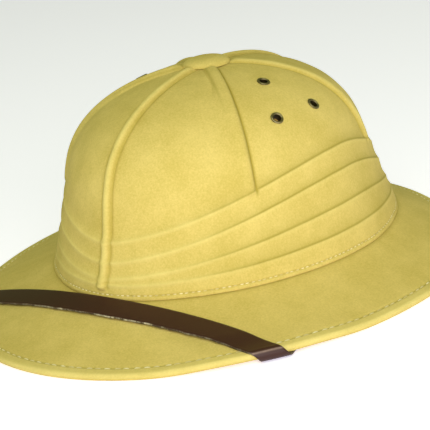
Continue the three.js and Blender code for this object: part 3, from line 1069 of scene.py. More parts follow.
    def dome_share(self, low: Array, angle: Array, share: float) -> Array:
        """Rows even in the turn of the dome: height share = sin(turn) ^ (2 / b).

        Args:
            low: Height at which the rows start.
            angle: Polar angle in radians.
            share: Share of the way from there to the edge of the button.

        Returns:
            Height shares.
        """
        form = self.form
        power = form.height_power / 2.0
        start = np.arcsin((low / form.height) ** power)
        rim = form.dome_height_share(form.button_radius / form.plan_radius(angle))
        end = np.arcsin(rim**power)
        return np.sin(between(start, end, share)) ** (1.0 / power)

    def grid(self, rows: Sequence[Row]) -> tuple[Array, Array, Array]:
        """Angles and height shares for a list of rows, and the sector middle of each column.

        Args:
            rows: One function of the angle for each row.

        Returns:
            Angles and height shares of shape (rows, columns), and the sector middles.
        """
        form = self.form

        def radius_at(angle: Array) -> Array:
            """Radius of each row at one angle."""
            shares = np.array([float(row(angle)) for row in rows])
            return form.plan_radius(angle) * form.dome_radius_share(shares)

        angle, middle = self.angles(radius_at)
        share = np.stack([row(angle[index]) for index, row in enumerate(rows)])
        return angle, share, middle

    def shading(self, angle: Array, height: Array, ribs: dict[str, Array]) -> dict[str, Array]:
        """Masks of painted shade and painted highlight.

        Beside a rib and along the hem's seam lies painted shade. Above each fold lie a painted dark
        line and a painted shade that dies away as e ^ -(height above / reach), both mostly at the
        sides.
        The lip below the line gets a painted highlight, mostly at the front and the back.

        Args:
            angle: Polar angle in radians.
            height: Height above the crown's foot.
            ribs: What the form says of the ribs.

        Returns:
            The mask of painted shade, and the mask of painted highlight.
        """
        form = self.form
        # Painted shade along the hem's seam and beside the ribs; painted highlight on the rib
        # crests.
        seam = self.seam_shade.at(height - form.hem_height)
        painted_shades = np.maximum(self.rib_shade * ribs["foot"], seam)
        painted_highlights = self.rib_shine * ribs["crest"]
        across = np.abs(np.cos(angle)) - self.shade_side_start
        side = smooth_step(across / self.shade_side_span)
        # Painted shade on and above each fold line, and a painted highlight on the lip below it.
        for fold in FOLDS:
            above = height - form.fold_line(fold, angle)
            fade = self.fade_shade * np.exp(-np.maximum(above, 0.0) / self.fade_reach)
            fade = fade * smooth_step(above / self.fade_start + 0.5)
            line = self.line_shade.at(above) + fade
            painted_shades = np.maximum(painted_shades, line * between(self.front_shade, 1.0, side))
            shine = self.lip_shine.at(above) * between(1.0, self.side_shine, side)
            painted_highlights = np.maximum(painted_highlights, shine)
        return {"crease": painted_shades, "crest": painted_highlights}

    def outer(self, rows: Sequence[Row]) -> tuple[Array, dict[str, Array], Array]:
        """Points, masks and sector middles of the outer surface for a list of rows.

        Args:
            rows: One function of the angle for each row.

        Returns:
            Points, masks and sector middles.
        """
        form = self.form
        angle, share, middle = self.grid(rows)
        height = share * form.height
        radius = form.plan_radius(angle) * form.dome_radius_share(share)
        ribs = form.ribs(angle, radius, height)
        first, others = form.fold_steps(height, angle)
        hem = np.clip(height / form.hem_height, 0.0, 1.0)
        hem_relief = form.hem_puff * np.sin(math.pi * hem)
        groove = form.hem_groove * bell(height - form.hem_height, self.seam_shade.width)
        lift = ribs["long"] + np.maximum(ribs["short"] - first, 0.0)
        lift = lift - self.rib_sink * ribs["foot"]
        lift = lift + hem_relief - groove + form.uneven(angle, height)
        points = form.place(angle, share, first + others + form.flare(height), lift)
        return points, self.shading(angle, height, ribs), middle

    def cloth_places(self, points: Array, middle: Array) -> tuple[Array, Array]:
        """Cloth coordinates per panel: across from the panel's middle line, and along it.

        Across is radius times sin(angle - middle); along is the length of the column so far.

        Args:
            points: Points of shape (rows, columns, 3).
            middle: Sector middle of each column.

        Returns:
            Coordinates of each face's near and far column.
        """
        flat = points - np.array([0.0, self.form.centre_y, 0.0])
        steps = np.linalg.norm(np.diff(points, axis=0, prepend=points[:1]), axis=-1)
        along = np.cumsum(steps, 0)

        def across(x: Array, y: Array) -> Array:
            """Distance from the middle line of the face's own panel."""
            return y * np.cos(middle) - x * np.sin(middle)

        near = np.stack([across(flat[..., 0], flat[..., 1]), along], -1)
        rolled = np.roll(flat, -1, 1)
        far = np.stack([across(rolled[..., 0], rolled[..., 1]), np.roll(along, -1, 1)], -1)
        return near, far

    def skin(self) -> Skin:
        """The whole crown: inside from the top to the foot, then outside back to the top.

        Returns:
            The closed skin, without holes.
        """
        form = self.form
        outer, masks, middle = self.outer(self.outer_share_rows())
        angle, share, _ = self.grid(self.inner_share_rows())
        height = share * form.height
        below = np.maximum(1.0 - height / form.fold_line(FOLDS[0], angle), 0.0)
        relief = (form.foot_relief - form.flare_reach) * below + form.flare(height)
        inner = form.place(angle, share, relief, np.full_like(share, -form.wall))
        rings = np.concatenate([inner[::-1], outer])
        near, far = self.cloth_places(rings, middle)
        empty = np.zeros(inner.shape[:2])
        all_masks = {name: np.concatenate([empty, value]) for name, value in masks.items()}
        return Skin.from_rings(rings, (form.top(-form.wall), form.top(0.0)), near, far, all_masks)

    def button_skin(self) -> Skin:
        """The button: a puffed disc that rises as (1 - radius share ^ power) ^ 0.5.

        Returns:
            The closed skin.
        """
        form = self.form
        edge_turn = np.linspace(0.0, self.button_edge_turn, self.button_rows)
        top = np.linspace(*self.button_top, self.button_rows)
        shares = np.concatenate([np.cos(edge_turn), top])
        rows = [self.cap_row(share * self.button_reach) for share in shares]
        angle, share, middle = self.grid(rows)
        crown = form.place(angle, share, np.zeros_like(share), np.zeros_like(share))
        dome = (1.0 - shares**self.button_power) ** 0.5
        rise = self.button_gap + self.button_edge
        rise = rise + (self.button_height - self.button_edge) * dome
        over = crown + rise[:, None, None] * UP
        under = crown + self.button_gap * UP
        out = (crown[:1] - form.top(0.0)) * np.array([1.0, 1.0, 0.0])
        out = out / np.linalg.norm(out, axis=-1, keepdims=True)
        edge = crown[:1] + self.button_round * out + (self.button_gap + self.button_round) * UP
        rings = np.concatenate([under[::-1], edge, over])
        near, far = self.cloth_places(rings, middle)
        # Painted shade on the rows round the button's edge, and a painted highlight over its top.
        crease, crest = np.zeros(rings.shape[:2]), np.zeros(rings.shape[:2])
        crease[len(under) - 2 : len(under) + 1] = self.button_shade
        crest[len(under) + 3 : len(under) + self.button_rows] = self.button_shine
        poles = (form.top(self.button_gap), form.top(self.button_gap + self.button_height))
        return Skin.from_rings(rings, poles, near, far, {"crease": crease, "crest": crest})

    def build(self, cloth: bpy.types.Material, seats: Sequence["EyeletSeat"]) -> None:
        """Builds the crown with its eyelet holes, and the button.

        Args:
            cloth: The finish of both.
            seats: Where the eyelets go.
        """
        crown = self.skin().to_object("crown_cloth", cloth)
        Drill().cut(crown, seats)
        dress(crown, Slot.CLOTH, "crown")
        button = self.button_skin().to_object("top_button_cloth", cloth)
        dress(button, Slot.CLOTH, "top_button")


# The eyelets


@dataclass(frozen=True)
class EyeletSeat:
    """Where an eyelet sits: its node, the middle of its hole, its axis and its two faces."""

    node: str
    place: Array
    axis: Array
    inner: float
    outer: float

    def circle(self, count: int) -> Array:
        """Unit circle of a number of points about the axis: cos turn * side + sin turn * other.

        Args:
            count: Number of points.

        Returns:
            Points of shape (count, 3).
        """
        side = np.cross(UP, self.axis)
        side = side / np.linalg.norm(side)
        other = np.cross(self.axis, side)
        turn = round_turn(count)[:, None]
        return np.cos(turn) * side + np.sin(turn) * other


@dataclass
class Eyelets:
    """Rolled metal eyelets, three on each side."""

    form: CrownForm
    middle_angle: float = -9.1
    spread: float = 12.9
    hole_radius: float = 2.4
    flange_radius: float = 4.0
    flange_thickness: float = 0.7
    barrel_radius: float = 2.9
    wobble: float = 0.012
    roll_points: int = 11
    columns: int = 48
    places: tuple[tuple[float, float], ...] = ((0.0, 0.923), (1.0, 0.776), (-1.0, 0.776))

    def seats(self) -> list[EyeletSeat]:
        """Seats of all six eyelets; how deep each goes is read from its CAD node.

        Returns:
            Three seats on the left, then three on the right.
        """
        return [
            self.seat(side, number, math.radians(self.middle_angle + self.spread * turn), share)
            for side in Side
            for number, (turn, share) in enumerate(self.places, 1)
        ]

    def seat(self, side: Side, number: int, left_angle: float, share: float) -> EyeletSeat:
        """Seat of one eyelet.

        Args:
            side: Side of the helmet.
            number: Its number on that side.
            left_angle: Polar angle of its twin on the left side.
            share: Its height as a share of the dome's height.

        Returns:
            The seat, square to the dome.
        """
        angle = np.array(left_angle if side is Side.LEFT else math.pi - left_angle)
        place, above = (
            self.form.place(angle, np.array(share), np.array(0.0), np.array(lift))
            for lift in (0.0, 1.0)
        )
        axis = (above - place) / np.linalg.norm(above - place)
        node = f"eyelet_{side.name.lower()}_{number}"
        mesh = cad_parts[node].data
        corners = np.zeros(len(mesh.vertices) * 3, np.float32)
        mesh.vertices.foreach_get("co", corners)
        depth = (corners.reshape(-1, 3) / METRES - place) @ axis
        return EyeletSeat(node, place, axis, float(depth.min()), float(depth.max()))

    def profile(self, seat: EyeletSeat) -> tuple[Array, Array]:
        """Closed outline of an eyelet as radius and height, and a mask of its raised parts.

        Each flange is a half round roll: radius = middle + half width * cos(turn) and
        height = face + thickness * sin(turn).

        Args:
            seat: The seat, which says how deep the eyelet goes.

        Returns:
            The outline of shape (points, 2), and the mask.
        """
        middle = (self.flange_radius + self.hole_radius) / 2.0
        half = (self.flange_radius - self.hole_radius) / 2.0
        thick = self.flange_thickness
        turn = np.linspace(0.0, math.pi, self.roll_points)
        roll = np.stack([middle + half * np.cos(turn), thick * np.sin(turn)], -1)
        top = roll + np.array([0.0, seat.outer - thick])
        bottom = (roll * np.array([1.0, -1.0]))[::-1] + np.array([0.0, seat.inner + thick])
        barrel = np.array([[self.barrel_radius, bottom[-1, 1]], [self.barrel_radius, top[0, 1]]])
        rubbed = np.sin(turn) ** 0.5
        return np.concatenate([barrel, top, bottom]), np.concatenate([[0.0, 0.0], rubbed, rubbed])

    def skin(self, seat: EyeletSeat) -> Skin:
        """Turns the outline about the seat's axis; the radius wobbles by a small share.

        Args:
            seat: The seat.

        Returns:
            The closed ring.
        """
        outline, crest = self.profile(seat)
        bent = self.wobble * np.sin(3.0 * round_turn(self.columns) + seat.place[0])
        circle = seat.circle(self.columns) * (1.0 + bent)[:, None]
        rings = seat.place + outline[:, None, :1] * circle + outline[:, None, 1:] * seat.axis
        masks = {"crest": np.repeat(crest[:, None], self.columns, 1)}
        return Skin.from_rings(rings, masks=masks)

    def build(self, brass: bpy.types.Material, seats: Sequence[EyeletSeat]) -> None:
        """Builds one ring per seat.

        Args:
            brass: The finish.
            seats: The seats.
        """
        for seat in seats:
            ring = self.skin(seat).to_object(f"{seat.node}_ring", brass)
            dress(ring, Slot.BRASS, seat.node)


@dataclass(frozen=True)
class Drill:
    """A round drill for the eyelet holes: its radius, its reach to each side, and its sides."""

    radius: float = 3.15
    reach: float = 9.0
    sides: int = 40

    def cut(self, piece: bpy.types.Object, seats: Sequence[EyeletSeat]) -> None:
        """Cuts a round hole through a piece at each seat, and keeps its cloth coordinates.

        Args:
            piece: The piece, whose mesh is replaced by the cut one.
            seats: Where the holes go.
        """
        cutters = []
        for seat in seats:
            ends = [seat.place + seat.axis * reach for reach in (-self.reach, self.reach)]
            ring = self.radius * seat.circle(self.sides)
            rings = np.stack([ring + end for end in ends])
            cutters.append(Skin.from_rings(rings, (ends[0], ends[1])))
        cutter = cutters[0].joined(cutters[1:]).to_object("cutter", piece.data.materials[0])
        cut = piece.modifiers.new("holes", "BOOLEAN")
        cut.operation, cut.solver, cut.object = "DIFFERENCE", "EXACT", cutter
        depsgraph = bpy.context.evaluated_depsgraph_get()
        made = bpy.data.meshes.new_from_object(piece.evaluated_get(depsgraph))
        piece.modifiers.remove(cut)
        piece.data = made
        bpy.data.objects.remove(cutter)


# The brim


@dataclass
class BrimForm:
    """The shape of the brim as formulas; the same named sizes as the solid.

    The chin strap sets the three values of the lift under it.
    """

    crown: CrownForm
    front_reach: float = 187.0
    back_reach: float = 163.0
    side_reach: float = 155.0
    back_power: float = 1.7
    wall: float = 2.6
    seat_height: float = 21.6
    hollow: float = 1.12
    opening_lap: float = 9.0
    hem_width: float = 6.5
    hem_thickness: float = 4.4
    rest_width: float = 2.6
    groove: float = 0.6
    groove_width: float = 0.55
    groove_foot_width: float = 1.6
    puff: float = 0.28
    unevenness: float = 0.1
    pucker: float = 0.07
    puckers: float = 180.0
    strap_lift_angle: float = 0.0
    strap_lift_spread: float = 1.0
    strap_lift: float = 2.05

    @property
    def hem_radius(self) -> float:
        """Radius of the rounded edge."""
        return self.hem_thickness / 2.0

    def rim_radius(self, angle: Number) -> Array:
        """Outline: an ellipse in front and a slightly straighter oval behind.

        Args:
            angle: Polar angle in radians.

        Returns:
            The radius.
        """
        front = oval_radius(angle, self.side_reach, self.front_reach, 2.0)
        back = oval_radius(angle, self.side_reach, self.back_reach, self.back_power)
        return np.where(np.sin(angle) < 0, front, back)

    def rim_lift(self, angle: Number) -> Array:
        """The hem rises under the strap: lift times e ^ -(angle away / spread) ^ 4.

        Args:
            angle: Polar angle in radians.

        Returns:
            The lift of the hem off the ground.
        """
        from_front = np.abs(np.arctan2(np.cos(angle), -np.sin(angle)))
        away = (from_front - (self.strap_lift_angle + math.pi / 2.0)) / self.strap_lift_spread
        return self.strap_lift * np.exp(-(away**4))

    def width_share(self, angle: Array, inward: Array) -> Array:
        """Share of the way from the rounded edge to the crown's foot."""
        width = self.rim_radius(angle) - self.crown.foot_radius(angle) - self.hem_radius
        return np.clip((inward - self.hem_radius) / width, 0.0, 1.0)

    def slope(self, angle: Array, inward: Array) -> Array:
        """Upper side without its seam: hem top + rise times share ^ hollow.

        Args:
            angle: Polar angle in radians.
            inward: Distance in from the rim.

        Returns:
            The height.
        """
        share = self.width_share(angle, inward)
        low = self.hem_thickness + self.rim_lift(angle) * (1.0 - share)
        return low + (self.seat_height - low) * share**self.hollow

    def top(self, angle: Array, inward: Array) -> Array:
        """Upper side: the slope with a stitched groove, a puffed hem and soft unevenness.

        Args:
            angle: Polar angle in radians.
            inward: Distance in from the rim.

        Returns:
            The height.
        """
        from_seam = inward - self.hem_width
        wide_groove = bell(from_seam, self.groove_foot_width)
        groove = self.groove * between(wide_groove, bell(from_seam, self.groove_width), 0.6)
        through_hem = np.clip((inward - 1.0) / (self.hem_width - 1.0), 0.0, 1.0)
        puff = self.puff * np.sin(math.pi * through_hem) ** 0.8
        wide = smooth_step((inward - self.hem_width) / 12.0)
        waves = np.sin(5.0 * angle + inward / 9.0) + np.sin(11.0 * angle - inward / 14.0)
        pucker = self.pucker * np.sin(angle * self.puckers) * bell(from_seam - 1.2, 1.2)
        uneven = self.unevenness * waves * wide
        return self.slope(angle, inward) - groove + puff + uneven + pucker

    def under(self, angle: Array, inward: Array) -> Array:
        """Lower side: flat under the hem, then a wall below the upper side.

        Args:
            angle: Polar angle in radians.
            inward: Distance in from the rim.

        Returns:
            The height.
        """
        flat_end = self.hem_radius + self.rest_width
        seam_end = self.hem_width + self.hem_radius
        lift = self.rim_lift(angle)
        full = self.slope(angle, np.maximum(inward, seam_end)) - self.wall
        rising = between(lift, full, np.clip((inward - flat_end) / (seam_end - flat_end), 0.0, 1.0))
        return np.where(inward <= flat_end, lift, rising)

    def place(self, angle: Array, inward: Array, height: Array) -> Array:
        """Points for an angle, a distance in from the rim and a height.

        Args:
            angle: Polar angle in radians.
            inward: Distance in from the rim.
            height: Height above the ground.

        Returns:
            Points of shape (..., 3).
        """
        radius = self.rim_radius(angle) - inward
        parts = (radius * np.cos(angle), radius * np.sin(angle) + self.crown.centre_y, height)
        return np.stack(np.broadcast_arrays(*parts), -1)


@dataclass
class Brim:
    """The fine skin of the brim."""

    form: BrimForm
    columns: int = 720
    wall_rows: tuple[float, ...] = (0.88, 0.5, 0.12)
    lap_rows: tuple[float, ...] = (0.04, 0.3, 0.6, 0.93)
    slope_rows: int = 24
    slope_end: float = 3.0
    seam_rows: tuple[float, ...] = (
        2.2, 1.5, 1.0, 0.7, 0.45, 0.2, 0.0, -0.2, -0.45, -0.7, -1.0, -1.5, -2.2
    )
    hem_rows: tuple[float, ...] = (6.2, 5.5, 4.8, 4.1, 3.4, 2.8)
    rim_rows: int = 13
    hem_under_rows: tuple[float, ...] = (3.5, 4.8, 6.3, 7.8, 9.4, 11.2)
    under_rows: int = 8
    # Painted shade and painted highlight of the brim.
    seam_shade: Stripe = Stripe(0.55, 0.0, 0.6)
    rim_shade: Stripe = Stripe(0.35, 0.0, 1.1)
    rim_shade_upwards: Stripe = Stripe(1.0, 0.6, 1.3)
    joint_shade: Stripe = Stripe(0.3, 0.0, 1.6)
    hem_shine: Stripe = Stripe(0.5, 4.2, 2.0)
    bead_shine: Stripe = Stripe(0.6, 0.8, 1.6)
    bead_from: float = 1.6
    upper_from: float = 0.9

    def rows(self, angle: Array) -> tuple[Array, Array]:
        """Distances in from the rim and heights of all rows.

        They run from the opening over the top, round the rim and back along the under side.

        Args:
            angle: Polar angle of each column in radians.

        Returns:
            Two arrays of shape (rows, columns).
        """
        form = self.form
        level = np.zeros_like(angle)
        foot = form.rim_radius(angle) - form.crown.foot_radius(angle)
        opening = foot + form.opening_lap
        seat = level + form.seat_height
        lift = form.rim_lift(angle)
        parts = [(opening, seat - form.wall * share) for share in self.wall_rows]
        parts += [(between(opening, foot, share), seat) for share in self.lap_rows]
        slope = np.arange(self.slope_rows + 1) / self.slope_rows
        over = [between(foot, form.hem_width + self.slope_end, share) for share in slope]
        over += [level + form.hem_width + offset for offset in self.seam_rows]
        over += [level + inward for inward in self.hem_rows]
        parts += [(inward, form.top(angle, inward)) for inward in over]
        half = (form.top(angle, level + form.hem_radius) - lift) / 2.0
        parts += [
            (level + form.hem_radius * (1.0 - math.sin(turn)), lift + half * (1.0 + math.cos(turn)))
            for turn in np.linspace(0.0, math.pi, self.rim_rows)
        ]
        under = [level + inward for inward in self.hem_under_rows]
        back = np.arange(1, self.under_rows + 1) / self.under_rows
        under += [between(self.hem_under_rows[-1], foot, share) for share in back]
        parts += [(inward, form.under(angle, inward)) for inward in under]
        parts.append((between(foot, opening, 0.95), seat - form.wall))
        return np.stack([part[0] for part in parts]), np.stack([part[1] for part in parts])

    def shading(self, angle: Array, inward: Array, height: Array) -> dict[str, Array]:
        """Masks of painted shade and painted highlight.

        Painted shade lies in the stitched groove, at the foot of the rim and at the joint with the
        crown. A painted highlight lies on the puffed hem and the bead of the rim.

        Args:
            angle: Polar angle in radians.
            inward: Distance in from the rim.
            height: Height above the ground.

        Returns:
            The mask of painted shade, and the mask of painted highlight.
        """
        form = self.form
        lift = form.rim_lift(angle)
        foot = form.rim_radius(angle) - form.crown.foot_radius(angle)
        upper = height > form.under(angle, inward) + self.upper_from
        # Painted shade in the groove, at the rim's foot and at the crown joint; painted highlight
        # on the hem and the bead.
        seam = self.seam_shade.at(inward - form.hem_width) * upper
        rim = self.rim_shade.at(inward) * self.rim_shade_upwards.at(height - lift)
        joint = self.joint_shade.at(inward - foot) * upper
        hem = self.hem_shine.at(inward) * upper
        bead = self.bead_shine.at(inward) * (height > lift + self.bead_from)
        return {"crease": np.maximum.reduce([seam, rim, joint]), "crest": hem + bead}

    def skin(self) -> Skin:
        """All rows of the brim as one closed stack of rings.

        Returns:
            The closed skin.
        """
        angle = round_turn(self.columns)
        inward, height = self.rows(angle)
        rings = self.form.place(angle, inward, height)
        near, far = self.cloth_places(rings)
        return Skin.from_rings(rings, None, near, far, self.shading(angle, inward, height))

    def cloth_places(self, rings: Array) -> tuple[Array, Array]:
        """The cloth lies flat: its coordinates are x and y, and z is added to y."""
        near = np.stack([rings[..., 0], rings[..., 1] + rings[..., 2]], -1)
        return near, np.roll(near, -1, 1)

    def build(self, cloth: bpy.types.Material) -> None:
        """Builds the brim."""
        dress(self.skin().to_object("brim_cloth", cloth), Slot.CLOTH, "brim")


# The chin strap


@dataclass
class ChinStrap:
    """One band over the front of the brim, round the rim and back under the brim."""

    brim: BrimForm
    width: float = 14.0
    thickness: float = 1.3
    brim_angle: float = -48.2
    spread_share: float = 0.88
    lift: float = 0.9
    hidden_length: float = 84.0
    gap: float = 0.45
    seam_gap: float = 0.3
    top_columns: int = 14
    corner: float = 0.12
    under_raw: float = 0.6
    waviness: float = 0.11
    near_rim: float = 24.0
    past_rim: float = 12.0
    front_stations: int = 60
    rim_stations: int = 130
    hidden_stations: int = 24
    # Place, width and rise of the crease at the rim, which also carries the pale band.
    worn_place: float = 2.7
    worn_width: float = 0.45
    worn_height: float = 0.12
    frayed_middle: float = 18.0
    frayed_reach: float = 48.0
    frayed_least: float = 0.15

    def __post_init__(self) -> None:
        """Works out where the band crosses the rim, and lifts the brim's hem there."""
        brim, crown = self.brim, self.brim.crown
        self.rim_angle = math.radians(self.brim_angle)
        outward = np.array([
            math.cos(self.rim_angle) / brim.side_reach**2,
            math.sin(self.rim_angle) / brim.front_reach**2,
        ])
        self.outward = outward / np.linalg.norm(outward)
        reach = float(brim.rim_radius(np.array(self.rim_angle)))
        rim = reach * np.array([math.cos(self.rim_angle), math.sin(self.rim_angle)])
        self.crossing = rim - self.outward * brim.hem_radius
        self.wrap_radius = brim.hem_radius + self.gap + self.thickness / 2.0
        self.wrap_length = math.pi * self.wrap_radius
        foot = crown.half_length + crown.foot_relief
        self.middle_y = -(foot + 2.0 * self.seam_gap + self.width / 2.0)
        self.rise = self.crossing[1] - self.middle_y
        self.spread = self.spread_share * self.crossing[0]
        heading = self.heading(np.array(self.crossing[0]))
        self.skew_at_rim = float(
            heading @ np.array([-self.outward[1], self.outward[0]]) / (heading @ self.outward)
        )
        slip = self.skew_at_rim * self.wrap_length
        brim.strap_lift_spread = 2.0 * (self.width + slip) / brim.side_reach
        brim.strap_lift_angle = self.rim_angle + slip / 2.0 / reach
        brim.strap_lift = self.thickness + self.gap + self.seam_gap

    def heading(self, x: Array) -> Array:
        """Direction of the band in plan: 1 across to the slope of its eased rise.

        Args:
            x: Place along the middle line, across the helmet.

        Returns:
            Unit directions in plan.
        """
        share = np.minimum(x / self.spread, 1.0)
        slope = 6.0 * share * (1.0 - share) * self.rise / self.spread
        size = np.hypot(1.0, slope)
        return np.stack(np.broadcast_arrays(1.0 / size, slope / size), -1)

    def half_length(self) -> float:
        """Length of one half of the band along its middle line."""
        return self.crossing[0] + self.wrap_length + self.hidden_length

    def flat_plan(self, along: Array, across: Array) -> tuple[Array, Array]:
        """Plan of the left half of the band, as if it went straight on past the rim.

        Its middle line is (x, middle + rise * ease(x / spread)).

        Args:
            along: Length from the middle of the front.
            across: Place across the band.

        Returns:
            Plan places, and how far each lies past the line where the band starts to roll round
            the hem.
        """
        x = np.minimum(along, self.crossing[0])
        heading = self.heading(x)
        sideways = np.stack([-heading[..., 1], heading[..., 0]], -1)
        skew = self.skew_at_rim * smooth_step(x / self.crossing[0])
        line = np.stack([x, self.middle_y + self.rise * smooth_step(x / self.spread)], -1)
        forward = along - x + skew * across
        plan = line + heading * forward[..., None] + sideways * across[..., None]
        return plan, (plan - self.crossing) @ self.outward

    def place(self, along: Array, across: Array, layer: Array) -> Array:
        """A point of the band.

        Over the brim the band floats a little above the slope. Past the rim it rolls round the
        hem on an arc, and beyond that it is reflected inwards under the brim.

        Args:
            along: Length from the middle of the front; negative values give the right half.
            across: Place across the band, positive towards the crown.
            layer: Height above the surface that the band follows.

        Returns:
            Points of shape (..., 3).
        """
        brim = self.brim
        mirror = np.where(along < 0, -1.0, 1.0)
        plan, beyond = self.flat_plan(np.abs(along), across)
        turn = np.clip(beyond / self.wrap_radius, 0.0, math.pi)
        radius = brim.hem_radius + layer
        wrapped = plan + self.outward * (radius * np.sin(turn) - beyond)[..., None]
        past = self.outward * (self.wrap_length - 2.0 * beyond)[..., None]
        flat = np.where((beyond >= self.wrap_length)[..., None], plan + past, plan)
        on_arc = (beyond > 0) & (beyond < self.wrap_length)
        plan = np.where(on_arc[..., None], wrapped, flat)
        angle = np.arctan2(plan[..., 1], plan[..., 0])
        inward = brim.rim_radius(angle) - np.hypot(plan[..., 0], plan[..., 1])
        floating = self.lift * smooth_step((inward - brim.hem_width) / self.width)
        above = brim.slope(angle, inward) + layer + floating
        below = brim.under(angle, inward) - layer
        arc = brim.rim_lift(angle) + brim.hem_radius + radius * np.cos(turn)
        height = np.where(beyond <= 0, above, np.where(on_arc, arc, below))
        return np.stack([plan[..., 0] * mirror, plan[..., 1] + brim.crown.centre_y, height], -1)

    def section(self) -> tuple[Array, Array, Array]:
        """Cross-section: places across, layers, and the mask of the raw edges.

        Returns:
            Three arrays with one value for each point of the section.
        """
        half, low, high = self.width / 2.0, self.gap, self.gap + self.thickness
        spread = np.linspace(-1.0, 1.0, self.top_columns)
        flat, edge = spread * (half - self.corner), np.full(3, half)
        side = np.array([high - 0.3, (low + high) / 2.0, low + 0.2])
        top, bottom = high - self.corner * spread**2, np.full(self.top_columns, low)
        raw_top, raw_edge = np.zeros(self.top_columns), np.ones(3)
        raw_under = np.full(self.top_columns, self.under_raw)
        return (
            np.concatenate([flat, edge, -flat, -edge]),
            np.concatenate([top, side, bottom, side[::-1]]),
            np.concatenate([raw_top, raw_edge, raw_under, raw_edge]),
        )

    def stations(self) -> Array:
        """Lengths from the middle of the front at which the section stands, closest at the rim.

        Returns:
            The lengths, negative on the right half.
        """
        start = self.crossing[0] - self.near_rim
        end = self.crossing[0] + 2.0 * self.wrap_length + self.past_rim
        left = np.concatenate([
            np.linspace(0.0, start, self.front_stations, endpoint=False),
            np.linspace(start, end, self.rim_stations, endpoint=False),
            np.linspace(end, self.half_length(), self.hidden_stations),
        ])
        return np.concatenate([-left[:0:-1], left])

    def skin(self) -> Skin:
        """Carries the section along the whole band.

        The cut edge towards the rim waves as a sum of three sines. The crease at the rim stands
        up by a bell curve, and a pale band lies along it.

        Returns:
            The closed band.
        """
        across, layer, raw = self.section()
        along = self.stations()
        wave = np.sin(along / 3.1) + np.sin(along / 1.7 + 1.0) + np.sin(along / 7.3 + 2.0)
        edge = (across < 0) * np.abs(across / (self.width / 2.0)) ** 6
        across = across + (self.waviness * wave)[:, None] * edge
        along = along[:, None] + np.zeros_like(across)
        rings = self.place(along, across, layer + np.zeros_like(across))
        beyond = self.flat_plan(np.abs(along), across)[1]
        worn = bell(beyond - self.worn_place, self.worn_width) * (1.0 - raw)
        rings = rings + (self.worn_height * worn)[..., None] * UP
        near = np.stack([along, across], -1)
        frayed = bell(along - self.frayed_middle, self.frayed_reach)
        masks = {
            "raw": raw + np.zeros_like(across),
            "worn": worn,
            "frayed": between(self.frayed_least, 1.0, frayed),
        }
        poles = (rings[0].mean(0), rings[-1].mean(0))
        return Skin.from_rings(rings, poles, near, np.roll(near, -1, 1), masks)

    def build(self, leatherette: bpy.types.Material) -> None:
        """Builds the strap."""
        logger.info("strap length %.0f mm", 2.0 * self.half_length())
        dress(self.skin().to_object("chin_strap_band", leatherette), Slot.STRAP, "chin_strap")


# The stitching


@dataclass
class Stitching:
    """Rows of separate stitches sunk into a seam."""

    length: float
    pitch: float
    radius: float
    jitter: float = 0.12
    rise: float = 0.9
    sink: float = 0.35
    sides: int = 6
    rings: int = 5
    path_points: int = 4001

    def skin(self, path: Row, up: Row) -> Skin:
        """Lays stitches along a closed path.

        Each stitch is a thin spindle: at a share s of its length its radius is the thread's
        radius times sin(pi s) ^ 0.5, and its middle rises out of the cloth as sin(pi s).

        Args:
            path: Point of the seam for a polar angle.
            up: Outward direction of the cloth for a polar angle.

        Returns:
            All stitches of the seam.
        """
        fine = np.linspace(0.0, TURN, self.path_points)
        run = path(fine)
        length = np.append(0.0, np.cumsum(np.linalg.norm(np.diff(run, axis=0), axis=1)))
        count = int(length[-1] / self.pitch)
        pitch = length[-1] / count
        start = np.arange(count) * pitch
        shares = np.linspace(0.0, 1.0, self.rings + 2)
        jitter = self.jitter * self.length * np.sin(np.arange(count) * 2.4)
        places = start[:, None] + (shares * self.length)[None, :] + jitter[:, None]
        angle = np.interp(places % length[-1], length, fine)
        middle = path(angle)
        lift = up(angle)
        forward = path(angle + 0.002) - middle
        forward = forward / np.linalg.norm(forward, axis=-1, keepdims=True)
        sideways = np.cross(forward, lift)
        hump = np.sin(math.pi * shares)
        middle = middle + lift * (self.radius * (self.rise * hump - self.sink))[None, :, None]
        thick = self.radius * np.maximum(hump, 0.0) ** 0.5
        turn = round_turn(self.sides)
        round_thread = (
            np.cos(turn)[None, None, :, None] * sideways[:, :, None, :]
            + np.sin(turn)[None, None, :, None] * lift[:, :, None, :]
        )
        points = middle[:, :, None, :] + thick[None, :, None, None] * round_thread
        body = points[:, 1:-1]
        one = Skin.from_rings(body[0], (middle[0, 0], middle[0, -1]))
        per_stitch = self.rings * self.sides + 2
        offsets = (np.arange(count) * per_stitch)[:, None, None]
        ends = middle[:, [0, -1]]
        all_points = np.concatenate([body.reshape(count, -1, 3), ends], 1).reshape(-1, 3)
        quads = (one.quads[None] + offsets).reshape(-1, 4)
        triangles = (one.triangles[None] + offsets).reshape(-1, 3)
        return Skin(all_points, quads, triangles)


